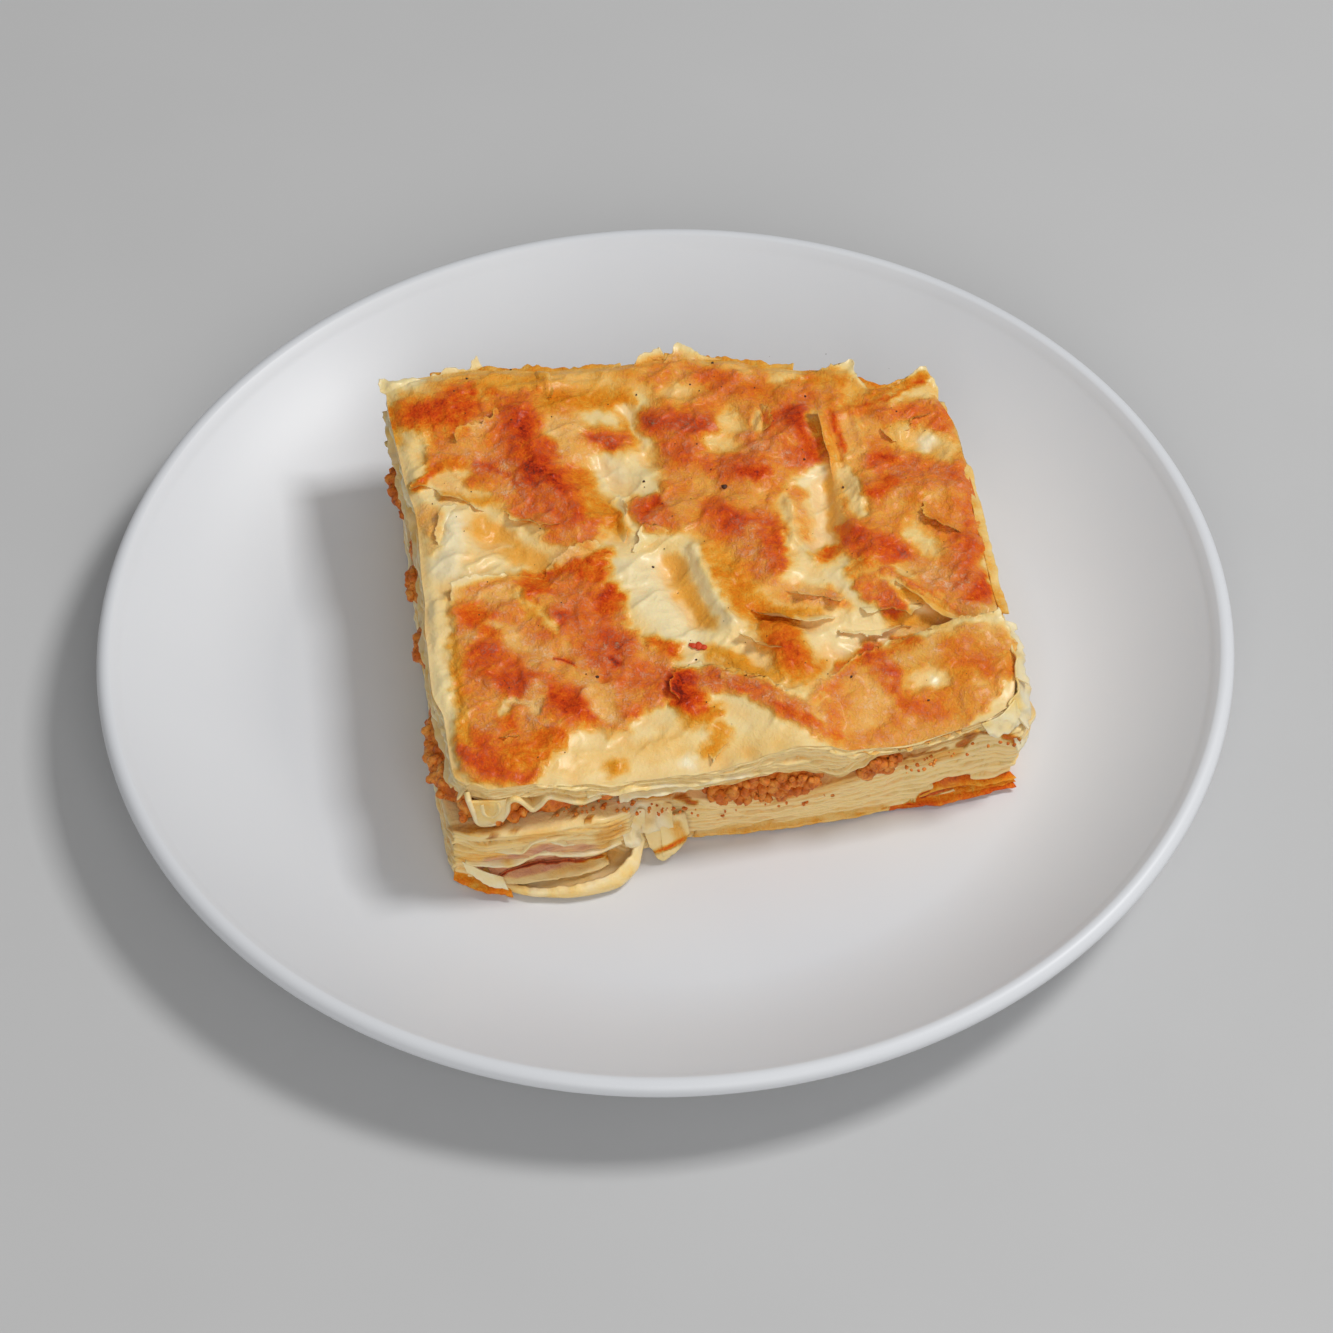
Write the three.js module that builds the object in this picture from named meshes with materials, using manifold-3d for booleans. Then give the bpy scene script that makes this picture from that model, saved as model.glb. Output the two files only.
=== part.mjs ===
import * as THREE from 'three';
import { mergeVertices } from 'three/addons/utils/BufferGeometryUtils.js';
import Module from 'manifold-3d';

// A cut slice of su borek on its plate: a lower stack of boiled pastry sheets, a layer of minced
// meat that runs through the slice, and an upper stack of sheets whose blistered crust lies in
// folds and torn flakes. Millimetres, +Z up. The origin is the middle of the plate's underside.
// +Y points away from the side where the cut shows best.

// ---------------------------------------------------------------- driving dimensions

const PLATE_RADIUS = 110;
const RIM_TOP = 19.3;
const RIM_WIDTH = 3.9;
const WELL_RADIUS = 76;
const WELL_HEIGHT = 5;
const WALL_FOOT = 106;
const WALL_RISE = 12.8;
const WALL_POWER = 1.8;
const PLATE_THICKNESS = 3.8;
const FOOT_INNER = 60.5;
const FOOT_OUTER = 66;
const FOOT_FLAT = 3.6;
const UNDERSIDE_HEIGHT = 1.6;
const PLATE_SEGMENTS = 52;

const SLICE_TURN = THREE.MathUtils.degToRad(9);
const SLICE_PLACE = [7, 3.5];
const GAP = 0.3;
const SEAM_GAP = 0.48;
const BASE_HEIGHT = WELL_HEIGHT + GAP;
const CRUST_HEIGHT = 32;
const CRUST_SLOPE = [-0.02, 0.02];
const SEAM_LOW = 19.5;
const SEAM_HIGH = 24;
const SHEET = 1.1;

// The grid that all three layers share: columns across, rows front to back.
const COLUMNS = 44;
const ROWS = 38;
const BORDER = 2 * (COLUMNS + ROWS);
const RING_SCALES = [1, 0.88, 0.7];

// Plan edges as [along, across] knots: u runs to the right, v runs back.
const LOWER_EDGES = {
  left: [[-48, -56.4], [-30, -56.3], [-10, -54.8], [10, -54.2], [30, -53.5], [55, -52.5]],
  right: [[-45, 53.2], [-37, 55.2], [-25, 54.4], [0, 54.4], [20, 55.2], [39, 53.8]],
  front: [[-56, -48.4], [-50, -50], [-40, -50.8], [-28, -50.8], [-22, -49.4], [-19, -46.4],
    [-10, -45], [10, -45.8], [20, -45.8], [53, -45]],
  back: [[-53, 55], [-20, 53], [10, 52], [24, 47.2], [38, 43], [54, 38.8]],
};
const UPPER_EDGES = {
  left: [[-47, -53], [-44, -54.4], [-30, -53.8], [-24, -55], [-10, -54.3], [0, -53.2],
    [20, -52], [30, -53], [56, -54]],
  right: [[-45, 53], [-30, 55], [-17, 54.4], [-4, 55.2], [9, 56.2], [27, 56.2], [40, 54.4]],
  front: [[-54, -46.4], [-50, -48], [-30, -48.3], [-20, -48.3], [0, -47.8], [15, -47.5],
    [30, -47.6], [45, -46.4], [53, -44]],
  back: [[-54, 58], [-45, 58], [-36, 58], [-30, 57], [-20, 55], [-5, 54.2], [6, 54.6],
    [15, 52], [23, 48.6], [30, 46.8], [38, 45], [42, 40], [54, 39.4]],
};

// Heights along the front cut as [u, z] knots.
const LOWER_FRONT_TOP = [[-57, 21], [-40, 21.5], [-30, 22], [-24, 21], [-18, 19], [-12, 17],
  [-5, 15.3], [5, 14.8], [14, 15.2], [20, 16.5], [26, 18], [32, 20], [40, 22.2], [46, 23.6],
  [54, 23.6]];
const UPPER_FRONT_UNDERSIDE = [[-55, 27.4], [-36, 28], [-31, 25], [-27, 25.6], [-22, 26.3],
  [-15, 26], [-10, 24.3], [-5, 23.4], [5, 24.3], [10, 23.6], [14, 21.8], [18, 19.6],
  [22, 21.8], [25, 24.4], [35, 24.6], [40, 25.4], [45, 26.4], [54, 26.4]];
const CRUST_FRONT_EDGE = [[-54, 30.6], [-50, 31.5], [-40, 31.7], [-36, 31], [-31, 29.8],
  [-25, 28.6], [-15, 28.3], [-5, 27.6], [0, 28.6], [5, 30], [10, 30.8], [15, 29.6],
  [20, 27.2], [30, 26.4], [40, 27.4], [46, 28.4], [54, 28]];
const CRUST_FRONT_REACH = [[-54, 4], [-38, 5], [-28, 10], [-5, 9], [5, 6], [12, 8], [20, 18],
  [46, 18], [54, 10]];
const EDGE_DROP = 1.6;
const EDGE_REACH = 3.4;

// Folds of the crust: ridges (rise > 0) and hollows (rise < 0) along a line in plan.
const FOLDS = [
  { from: [-38, 13], to: [-30, 3], width: 4, rise: -2.4 },
  { from: [-45, 18], to: [-47, 5], width: 3.5, rise: 1.2 },
  { from: [-43, 47], to: [-40, 42], width: 7, rise: 1.4 },
  { from: [-29, 42], to: [-21, 14], width: 4.8, rise: 1.9 },
  { from: [-15, 27], to: [-9, 16], width: 3.6, rise: -2.2 },
  { from: [-7, 41], to: [-5, 28], width: 3, rise: -1.7 },
  { from: [-20, 42], to: [-19, 31], width: 3, rise: 1 },
  { from: [-8, 13], to: [-2, 11], width: 4.6, rise: 1.5 },
  { from: [0, 36], to: [6, 33], width: 5, rise: 1.2 },
  { from: [13, 38], to: [13, 34], width: 2.8, rise: -1.2 },
  { from: [8, 29], to: [11, 26], width: 3.2, rise: -1.2 },
  { from: [14, 22], to: [27, 30], width: 5, rise: 1.8 },
  { from: [8, 12], to: [15, -5], width: 4.2, rise: 1.8 },
  { from: [28, 17], to: [25, 1], width: 3.4, rise: -3 },
  { from: [33, 1], to: [34, -4], width: 4.6, rise: 1.6 },
  { from: [47, 24], to: [49, 21], width: 4.4, rise: -1.6 },
  { from: [44, 32], to: [51, 30], width: 4, rise: 1 },
  { from: [38, 12], to: [50, 8], width: 5, rise: 1.5 },
  { from: [-15, -2], to: [-10, -14], width: 5.5, rise: 0.8 },
  { from: [-6, -1], to: [-3, -14], width: 2.8, rise: -2.6 },
  { from: [0, 2], to: [3, -17], width: 2.6, rise: 1.4 },
  { from: [9, -15], to: [17, -18], width: 2.6, rise: -1.6 },
  { from: [12, -21], to: [14, -28], width: 4.4, rise: 2 },
  { from: [21, -27], to: [42, -22], width: 4.2, rise: -3 },
  { from: [32, -9], to: [45, -18], width: 3.6, rise: 1.4 },
  { from: [-8, -29], to: [-8, -35], width: 3.6, rise: 1.4 },
  { from: [-2, -31], to: [15, -42], width: 3, rise: 1.4 },
  { from: [-26, -41], to: [-12, -40], width: 4.6, rise: -0.8 },
  { from: [-34, -27], to: [-31, -31], width: 5.4, rise: 0.8 },
  { from: [50, -4], to: [49, -18], width: 4, rise: 0.8 },
];

// Torn sheets that lie on the crust: a plan outline, the height that they stand above the
// crust, and the direction in which the free edge lifts.
const FLAKES = [
  { name: 'draped flap', lift: 2.4, open: [0, 1], base: 0.7, outline: [[13.4, -39], [15.5, -33.5],
    [20, -31.5], [25, -28], [32, -25.6], [40, -25], [46, -23.6], [53, -24.6], [55.4, -30],
    [53.4, -36], [50, -41], [46, -44.6], [40, -47], [31, -47.8], [22, -48], [17, -45.6]] },
  { name: 'browned plate', lift: 0.8, open: [-0.2, 1], base: 0.5, outline: [[-47.4, -1], [-38, 2.6],
    [-28, 0.8], [-20, 3], [-17, -4], [-16, -14], [-9, -22], [-12, -31], [-19, -34.4],
    [-28, -34], [-35, -36.6], [-42, -36], [-48.6, -28], [-49.8, -12]] },
  { name: 'left lip', lift: 0.7, open: [-1, -0.2], base: 0.4, outline: [[-51, 27], [-46, 30.4],
    [-41, 31], [-36, 26], [-38, 22], [-43, 23], [-48, 24.6]] },
  { name: 'curled strip', lift: 1.4, open: [1, 0], base: 0.9, outline: [[28.2, 34], [30.8, 33.4],
    [31.2, 27], [31.4, 20.6], [29, 20], [28.4, 27]] },
  { name: 'back spike', lift: 0.5, open: [0.4, 1], base: -0.1, outline: [[-46, 55], [-42, 59],
    [-36.4, 60.4], [-34, 62], [-32.4, 59], [-35, 56], [-38, 52]] },
  { name: 'corner spike', lift: 0.4, open: [-0.4, 1], base: -0.2, outline: [[-53, 54], [-55, 57],
    [-54.6, 61], [-52.6, 59.6], [-49.6, 58.4], [-49, 54]] },
  { name: 'back peak', lift: 0.8, open: [0, 1], base: 0, outline: [[-1, 51], [4, 55], [6.2, 57.4],
    [9.4, 54.8], [14, 52.4], [9, 48]] },
  { name: 'back sheet', lift: 0.8, open: [0.3, 1], base: 0.3, outline: [[21, 46.4], [30, 46.8],
    [38.8, 46.2], [40.4, 41.4], [38, 35.6], [33, 34], [27, 38.6]] },
  { name: 'corner flap', lift: 2, open: [0.4, 1], base: 0.2, outline: [[41, 36.4], [47, 38.6],
    [53.4, 41], [54.4, 36.6], [52, 33], [45, 33.6]] },
  { name: 'ragged sheet', lift: 1.6, open: [0.3, -1], base: 0.3, outline: [[24, -7], [30, -5.6],
    [36, -8], [42, -14.6], [47.4, -22], [43, -21.6], [38, -18.6], [33, -19.4], [27, -16.4]] },
  { name: 'torn middle', lift: 1.2, open: [0, -1], base: 0.3, outline: [[7, -6], [11, -10.6],
    [16, -15.4], [21, -17], [26.4, -17.4], [24, -9], [18, -5], [11, -1]] },
  { name: 'shredded ridge', lift: 1, open: [-0.4, 1], base: 0.3, outline: [[-10, -28], [-4.6, -26.4],
    [4, -31], [11, -35.6], [17.6, -44.6], [13, -45], [5, -38.6], [-2, -34.4], [-8.4, -36.6]] },
  { name: 'chilli flake', lift: 0, open: [1, 0], base: 0.5, outline: [[-5.8, -20.2], [-4.6, -19.4],
    [-3, -20.6], [-3.4, -22], [-5, -21.6]] },
];

// The ruffled sheet edge at the front left: a path in [u, z] seen from the front.
const RUFFLE_PATH = [[-52, 30.2], [-51.2, 26], [-50.2, 22.9], [-46.6, 22.7], [-45, 25.2],
  [-44.6, 27.8], [-43.2, 28.8], [-41.6, 27], [-40.2, 25.4], [-38.8, 26.6], [-37.2, 28.2],
  [-34.8, 27], [-31, 25.2], [-27.4, 26]];
const RUFFLE_FRONT = -49.2;
const RUFFLE_BACK = -47;

// Loose pieces of the lower stack: a torn end in [u, z], seen from the front, and two bands of
// sheet from a root line to a free rim in [u, v, z].
const HANGING_TAB = { face: [[-19.4, 14.4], [-12, 15], [-11.4, 9.4], [-13, 6.4], [-16.6, 5.8],
  [-18.6, 8.4]], front: -48, depth: 2.6 };
const POCKET_LIP = {
  root: [[-46, -47, 7.2], [-42, -47, 7.4], [-37, -46.6, 7.6], [-31, -46.6, 7.8], [-26, -46.6, 8.4],
    [-22.6, -45.8, 9.6], [-20.6, -44.6, 11.4]],
  rim: [[-45, -51.6, 6.6], [-41.6, -53.2, 6.3], [-37, -54.4, 6.4], [-31, -55, 6.5],
    [-26, -54.4, 6.7], [-22.6, -52, 7.6], [-20.6, -48.6, 10]],
};
const BROWNED_TAB = {
  root: [[-55.4, -46.4, 9], [-52, -46.6, 8], [-47, -47, 7.4]],
  rim: [[-55.8, -48.6, 7.6], [-51.4, -51.6, 6.8], [-45.2, -54.6, 6.4]],
};

// Crumbs of meat that stand out of the layer: the plan place that each is nearest to, and radius.
const MEAT_CRUMBS = [
  [-57, 12, 2.2], [-57, 16, 1.7], [-57, -1, 2.3], [-57, -5, 1.9], [-57, -21, 1.8], [-57, -28, 2],
  [-57, -36, 2.1], [-55, 44, 1.7], [-55, 34, 1.7], [-55, -48, 1.8], [-5, -47, 2.6],
  [-1, -47, 2.8], [3, -47, 2.6], [7, -47, 2.3], [11, -47, 1.9], [24, -47, 1.9], [28, -47, 1.7],
  [56, -20, 1.6], [57, 4, 1.8], [57, 18, 1.6], [-30, 57, 1.7], [-6, 55, 1.6], [34, 47, 1.6],
];
const CRUMB_CLEARANCE = 0.35;

// ---------------------------------------------------------------- small maths

const mix = (a, b, t) => a + (b - a) * t;

/** Rises from 0 to 1 between 0 and 1 with level ends. */
function smooth(x) {
  const t = Math.min(1, Math.max(0, x));
  return t * t * (3 - 2 * t);
}

/** Value at x of a line through [x, y] knots, eased between neighbours. */
function along(knots, x) {
  if (x <= knots[0][0]) return knots[0][1];
  for (let i = 1; i < knots.length; i += 1) {
    const [x0, y0] = knots[i - 1];
    const [x1, y1] = knots[i];
    if (x <= x1) return mix(y0, y1, smooth((x - x0) / (x1 - x0)));
  }
  return knots[knots.length - 1][1];
}

/** A crinkled line: three sine waves of unlike length, each a share of the size. */
function crinkle(x, size, phase) {
  const long = Math.sin(x / 3.1 + phase);
  const middle = 0.6 * Math.sin(x / 1.7 + 2.3 * phase + 1);
  const short = 0.4 * Math.sin(x / 0.9 + 4.1 * phase + 2);
  return (size * (long + middle + short)) / 2;
}

/** Distance in plan from a point to the line between two points. */
function distanceToLine(u, v, [u0, v0], [u1, v1]) {
  const du = u1 - u0;
  const dv = v1 - v0;
  const t = Math.min(1, Math.max(0, ((u - u0) * du + (v - v0) * dv) / (du * du + dv * dv)));
  return Math.hypot(u - u0 - t * du, v - v0 - t * dv);
}

// ---------------------------------------------------------------- plan and heights

/** Plan point of a layer at s across and t back, both from 0 to 1. */
function planPoint(edges, s, t) {
  const left = along(edges.left, mix(-47, 56, t));
  const right = along(edges.right, mix(-45, 40, t));
  const front = along(edges.front, mix(-55, 53, s));
  const back = along(edges.back, mix(-54, 54, s));
  const corner = Math.abs(2 * s - 1) ** 9 * Math.abs(2 * t - 1) ** 9;
  return [mix(left, right, s) * (1 - 0.02 * corner), mix(front, back, t) * (1 - 0.02 * corner)];
}

/** 1 along the front cut, falling to 0 within a sixth of the depth. */
const nearFront = (t) => 1 - smooth(t / 0.15);

/** 1 at the outline, falling to 0 at the second ring. */
const nearEdge = (s, t) => smooth((Math.max(Math.abs(2 * s - 1), Math.abs(2 * t - 1)) - 0.7) / 0.3);

/** Top of the lower stack. */
function lowerTop(u, v, s, t) {
  const ripple = crinkle(u + v, 0.6, 1.3) * nearEdge(s, t) * (1 - nearFront(t));
  return mix(SEAM_LOW + ripple, along(LOWER_FRONT_TOP, u), nearFront(t));
}

/** Underside of the upper stack. */
function upperUnderside(u, v, s, t) {
  const ripple = crinkle(u - v, 0.6, 2.9) * nearEdge(s, t) * (1 - nearFront(t));
  return mix(SEAM_HIGH + ripple, along(UPPER_FRONT_UNDERSIDE, u), nearFront(t));
}

/** Sum of the crust's ridges and hollows at a plan point. */
function foldHeight(u, v) {
  let height = 0;
  for (const fold of FOLDS) {
    const reach = distanceToLine(u, v, fold.from, fold.to) / fold.width;
    height += fold.rise * Math.exp(-reach * reach);
  }
  return height;
}

/** The crust: a tilted plane with folds, falling away to its edges. */
function crust(u, v, s, t) {
  const level = CRUST_HEIGHT + CRUST_SLOPE[0] * u + CRUST_SLOPE[1] * v;
  const fromSide = 108 * Math.min(s, 1 - s);
  const fromBack = 96 * (1 - t);
  const fromFront = 96 * t;
  const inside = smooth(Math.min(fromSide, fromBack, fromFront) / EDGE_REACH);
  const folded = level + (foldHeight(u, v) + crinkle(u + 0.6 * v, 0.35, 0.4)) * inside;
  const dropped = folded - EDGE_DROP * (1 - smooth(Math.min(fromSide, fromBack) / EDGE_REACH));
  const edge = along(CRUST_FRONT_EDGE, u);
  return mix(Math.min(edge, dropped), dropped, smooth(fromFront / along(CRUST_FRONT_REACH, u)));
}

/** Crust height from a plan point alone, for what lies on it. */
function crustAt(u, v) {
  const left = along(UPPER_EDGES.left, v);
  const right = along(UPPER_EDGES.right, v);
  const front = along(UPPER_EDGES.front, u);
  const back = along(UPPER_EDGES.back, u);
  const s = Math.min(1, Math.max(0, (u - left) / (right - left)));
  const t = Math.min(1, Math.max(0, (v - front) / (back - front)));
  return crust(u, v, s, t);
}

// ---------------------------------------------------------------- mesh building

/** Collects points and triangles of one closed mesh. */
class MeshBuilder {
  constructor() {
    this.points = [];
    this.faces = [];
  }

  /** Adds a point and returns its number. */
  add(x, y, z) {
    this.points.push(x, y, z);
    return this.points.length / 3 - 1;
  }

  /** The point with a number. */
  at(index) {
    return this.points.slice(3 * index, 3 * index + 3);
  }

  /** Adds a triangle, turned over when asked. */
  triangle(a, b, c, flip = false) {
    if (flip) this.faces.push(a, c, b);
    else this.faces.push(a, b, c);
  }

  /** Adds a band between two closed rings of equal count. */
  band(below, above) {
    const count = below.length;
    for (let i = 0; i < count; i += 1) {
      const next = (i + 1) % count;
      this.triangle(below[i], below[next], above[next]);
      this.triangle(below[i], above[next], above[i]);
    }
  }

  /** Adds a band between an outer ring and an inner ring of half its count. */
  halvingBand(outer, inner, flip) {
    const count = inner.length;
    for (let i = 0; i < count; i += 1) {
      const next = (i + 1) % count;
      const middle = outer[2 * i + 1];
      this.triangle(outer[2 * i], middle, inner[i], flip);
      this.triangle(middle, inner[next], inner[i], flip);
      this.triangle(middle, outer[(2 * i + 2) % outer.length], inner[next], flip);
    }
  }

  /** Closes a ring with a fan round its middle point. */
  fan(ring, centre, flip) {
    ring.forEach((point, i) => this.triangle(point, ring[(i + 1) % ring.length], centre, flip));
  }

  /** The finished geometry. */
  geometry() {
    const geometry = new THREE.BufferGeometry();
    geometry.setAttribute('position', new THREE.Float32BufferAttribute(this.points, 3));
    geometry.setIndex(this.faces);
    return geometry;
  }
}

/** The border of the shared grid as [s, t] pairs, anticlockwise from the front left corner. */
function borderWalk() {
  const walk = [];
  for (let i = 0; i < COLUMNS; i += 1) walk.push([i / COLUMNS, 0]);
  for (let i = 0; i < ROWS; i += 1) walk.push([1, i / ROWS]);
  for (let i = 0; i < COLUMNS; i += 1) walk.push([1 - i / COLUMNS, 1]);
  for (let i = 0; i < ROWS; i += 1) walk.push([0, 1 - i / ROWS]);
  return walk;
}

const BORDER_WALK = borderWalk();

/** Three nested rings and a middle point of a hidden face, each as [x, y, z]. */
function hiddenFace(edges, height) {
  const rings = RING_SCALES.map((scale, level) => {
    const step = 2 ** level;
    const ring = [];
    for (let i = 0; i < BORDER; i += step) {
      const s = 0.5 + (BORDER_WALK[i][0] - 0.5) * scale;
      const t = 0.5 + (BORDER_WALK[i][1] - 0.5) * scale;
      const [u, v] = planPoint(edges, s, t);
      ring.push([u, v, height(u, v, s, t)]);
    }
    return ring;
  });
  const [u, v] = planPoint(edges, 0.5, 0.5);
  return { rings, centre: [u, v, height(u, v, 0.5, 0.5)] };
}

/** Puts a hidden face into a mesh and returns its outer ring of point numbers. */
function addHiddenFace(mesh, face, flip) {
  const numbers = face.rings.map((ring) => ring.map((point) => mesh.add(...point)));
  mesh.halvingBand(numbers[0], numbers[1], flip);
  mesh.halvingBand(numbers[1], numbers[2], flip);
  mesh.fan(numbers[2], mesh.add(...face.centre), flip);
  return numbers[0];
}

/** Puts the fine crust grid into a mesh and returns its outer ring of point numbers. */
function addCrustFace(mesh) {
  const numbers = [];
  for (let row = 0; row <= ROWS; row += 1) {
    for (let column = 0; column <= COLUMNS; column += 1) {
      const s = column / COLUMNS;
      const t = row / ROWS;
      const [u, v] = planPoint(UPPER_EDGES, s, t);
      numbers.push(mesh.add(u, v, crust(u, v, s, t)));
    }
  }
  const at = (column, row) => numbers[row * (COLUMNS + 1) + column];
  for (let row = 0; row < ROWS; row += 1) {
    for (let column = 0; column < COLUMNS; column += 1) {
      const [a, b] = [at(column, row), at(column + 1, row)];
      const [c, d] = [at(column + 1, row + 1), at(column, row + 1)];
      mesh.triangle(a, b, c);
      mesh.triangle(a, c, d);
    }
  }
  return BORDER_WALK.map(([s, t]) => at(Math.round(s * COLUMNS), Math.round(t * ROWS)));
}

/** Outward plan direction at a border point of a ring. */
function outward(ring, index) {
  const before = ring[(index + ring.length - 1) % ring.length];
  const after = ring[(index + 1) % ring.length];
  const length = Math.hypot(after[0] - before[0], after[1] - before[1]);
  return [(after[1] - before[1]) / length, (before[0] - after[0]) / length];
}

/** Closes the side between two rings with tiers that stand out by standOut(u, v, level). */
function addSide(mesh, belowNumbers, aboveNumbers, tiers, standOut) {
  const below = belowNumbers.map((number) => mesh.at(number));
  const above = aboveNumbers.map((number) => mesh.at(number));
  let previous = belowNumbers;
  for (let tier = 1; tier <= tiers; tier += 1) {
    const level = tier / tiers;
    const ring = tier === tiers ? aboveNumbers : below.map((low, i) => {
      const high = above[i];
      const [nu, nv] = outward(below, i);
      const [u, v] = [mix(low[0], high[0], level), mix(low[1], high[1], level)];
      const out = standOut(u, v, level);
      return mesh.add(u + nu * out, v + nv * out, mix(low[2], high[2], level));
    });
    mesh.band(previous, ring);
    previous = ring;
  }
}

// ---------------------------------------------------------------- boolean help

const wasm = await Module();
wasm.setup();

/** A manifold solid from a closed geometry. */
function solidOf(geometry) {
  const bare = geometry.clone();
  bare.deleteAttribute('normal');
  bare.deleteAttribute('uv');
  const merged = mergeVertices(bare, 1e-4);
  const vertProperties = new Float32Array(merged.attributes.position.array);
  const triVerts = new Uint32Array(merged.index.array);
  return new wasm.Manifold(new wasm.Mesh({ numProp: 3, vertProperties, triVerts }));
}

/** A geometry from a manifold solid. */
function geometryOf(solid) {
  const { vertProperties, triVerts } = solid.getMesh();
  const geometry = new THREE.BufferGeometry();
  geometry.setAttribute('position', new THREE.BufferAttribute(vertProperties, 3));
  geometry.setIndex(new THREE.BufferAttribute(triVerts, 1));
  return geometry;
}

/** One geometry from a body and the pieces fused to it, without sealed hollows or loose scraps. */
function fused(body, pieces) {
  const whole = pieces.reduce((sum, piece) => sum.add(solidOf(piece)), solidOf(body));
  const shells = whole.decompose();
  return geometryOf(shells.reduce((most, shell) => (shell.volume() > most.volume() ? shell : most)));
}

// ---------------------------------------------------------------- pieces

/** A torn sheet on the crust: its outline, a smaller ring and a middle point, top and bottom. */
function flakeGeometry({ outline, lift, open, base }) {
  const mesh = new MeshBuilder();
  const centre = [0, 1].map((k) => outline.reduce((sum, p) => sum + p[k], 0) / outline.length);
  const size = Math.hypot(...open);
  const toward = (u, v) => ((u - centre[0]) * open[0] + (v - centre[1]) * open[1]) / size;
  const reach = Math.max(...outline.map(([u, v]) => toward(u, v)));
  const height = (u, v) => crustAt(u, v) + base + lift * smooth(toward(u, v) / reach) ** 2;
  const shrink = ([u, v]) => [mix(centre[0], u, 0.6), mix(centre[1], v, 0.6)];
  const layers = [-SHEET, 0].map((offset) => {
    const place = ([u, v]) => mesh.add(u, v, height(u, v) + offset);
    return { rim: outline.map(place), ring: outline.map(shrink).map(place), middle: place(centre) };
  });
  const clockwise = THREE.ShapeUtils.isClockWise(outline.map(([u, v]) => new THREE.Vector2(u, v)));
  if (clockwise) layers.forEach((layer) => [layer.rim, layer.ring].forEach((ring) => ring.reverse()));
  const [under, over] = layers;
  mesh.band(under.rim, over.rim);
  mesh.band(over.rim, over.ring);
  mesh.fan(over.ring, over.middle, false);
  mesh.band(under.ring, under.rim);
  mesh.fan(under.ring, under.middle, true);
  return mesh.geometry();
}

/** A [u, z] outline carried back from the front by a depth. */
function frontSlab(face, front, depth) {
  const points = face.map(([u, z]) => new THREE.Vector2(u, z));
  const geometry = new THREE.ExtrudeGeometry(new THREE.Shape(points), {
    depth, bevelEnabled: false, steps: 1,
  });
  geometry.rotateX(Math.PI / 2);
  geometry.translate(0, front + depth, 0);
  return geometry;
}

/** A band of sheet between a root line and a free rim, with the same number of points in each. */
function sheetBand({ root, rim }) {
  const mesh = new MeshBuilder();
  const half = root.map((point, i) => point.map((value, k) => (value + rim[i][k]) / 2));
  const lines = [root, half, rim];
  const rows = lines.map((line, row) => {
    const sag = row === 1 ? 0.5 : 0;
    const over = line.map(([u, v, z]) => mesh.add(u, v, z - sag));
    const under = line.map(([u, v, z]) => mesh.add(u, v, Math.max(z - sag - SHEET, BASE_HEIGHT)));
    return [...over, ...under.reverse()];
  });
  mesh.band(rows[1], rows[0]);
  mesh.band(rows[2], rows[1]);
  const last = 2 * root.length - 1;
  for (let i = 0; i < root.length - 1; i += 1) {
    for (const [row, flip] of [[rows[0], false], [rows[2], true]]) {
      mesh.triangle(row[i], row[i + 1], row[last - i], flip);
      mesh.triangle(row[i + 1], row[last - i - 1], row[last - i], flip);
    }
  }
  return mesh.geometry();
}

/** The closed outline of a band of even thickness along a path. */
function bandOutline(path, thickness) {
  const side = (sign) => path.map(([u, z], i) => {
    const before = path[Math.max(0, i - 1)];
    const after = path[Math.min(path.length - 1, i + 1)];
    const length = Math.hypot(after[0] - before[0], after[1] - before[1]);
    const half = (sign * thickness) / 2 / length;
    return [u - (after[1] - before[1]) * half, z + (after[0] - before[0]) * half];
  });
  return [...side(-1), ...side(1).reverse()];
}

/** A crumb: a twenty-sided lump round a point, uneven by sines of its corner places. */
function crumbGeometry([u, v, z], radius, halfHeight) {
  const geometry = new THREE.IcosahedronGeometry(radius, 0);
  const corners = geometry.attributes.position;
  const flatness = Math.min(0.9, halfHeight / (1.12 * radius));
  for (let i = 0; i < corners.count; i += 1) {
    const [x, y, h] = [corners.getX(i), corners.getY(i), corners.getZ(i)];
    const uneven = 1 + 0.12 * Math.sin(5 * x + 3 * y + 7 * h + u + 2 * v);
    corners.setXYZ(i, u + x * uneven, v + y * uneven, z + h * uneven * flatness);
  }
  return geometry;
}

/** A crumb at the point of the cut side that is nearest to a plan place. */
function crumbOnSide(below, above, [u, v, radius]) {
  const middle = below.map((low, i) => low.map((value, k) => (value + above[i][k]) / 2));
  const away = middle.map(([x, y]) => Math.hypot(x - u, y - v));
  const nearest = away.indexOf(Math.min(...away));
  const [nu, nv] = outward(middle, nearest);
  const [x, y, z] = middle[nearest];
  const halfHeight = (above[nearest][2] - below[nearest][2]) / 2 - CRUMB_CLEARANCE;
  return crumbGeometry([x + nu * radius * 0.5, y + nv * radius * 0.5, z], radius, halfHeight);
}

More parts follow.
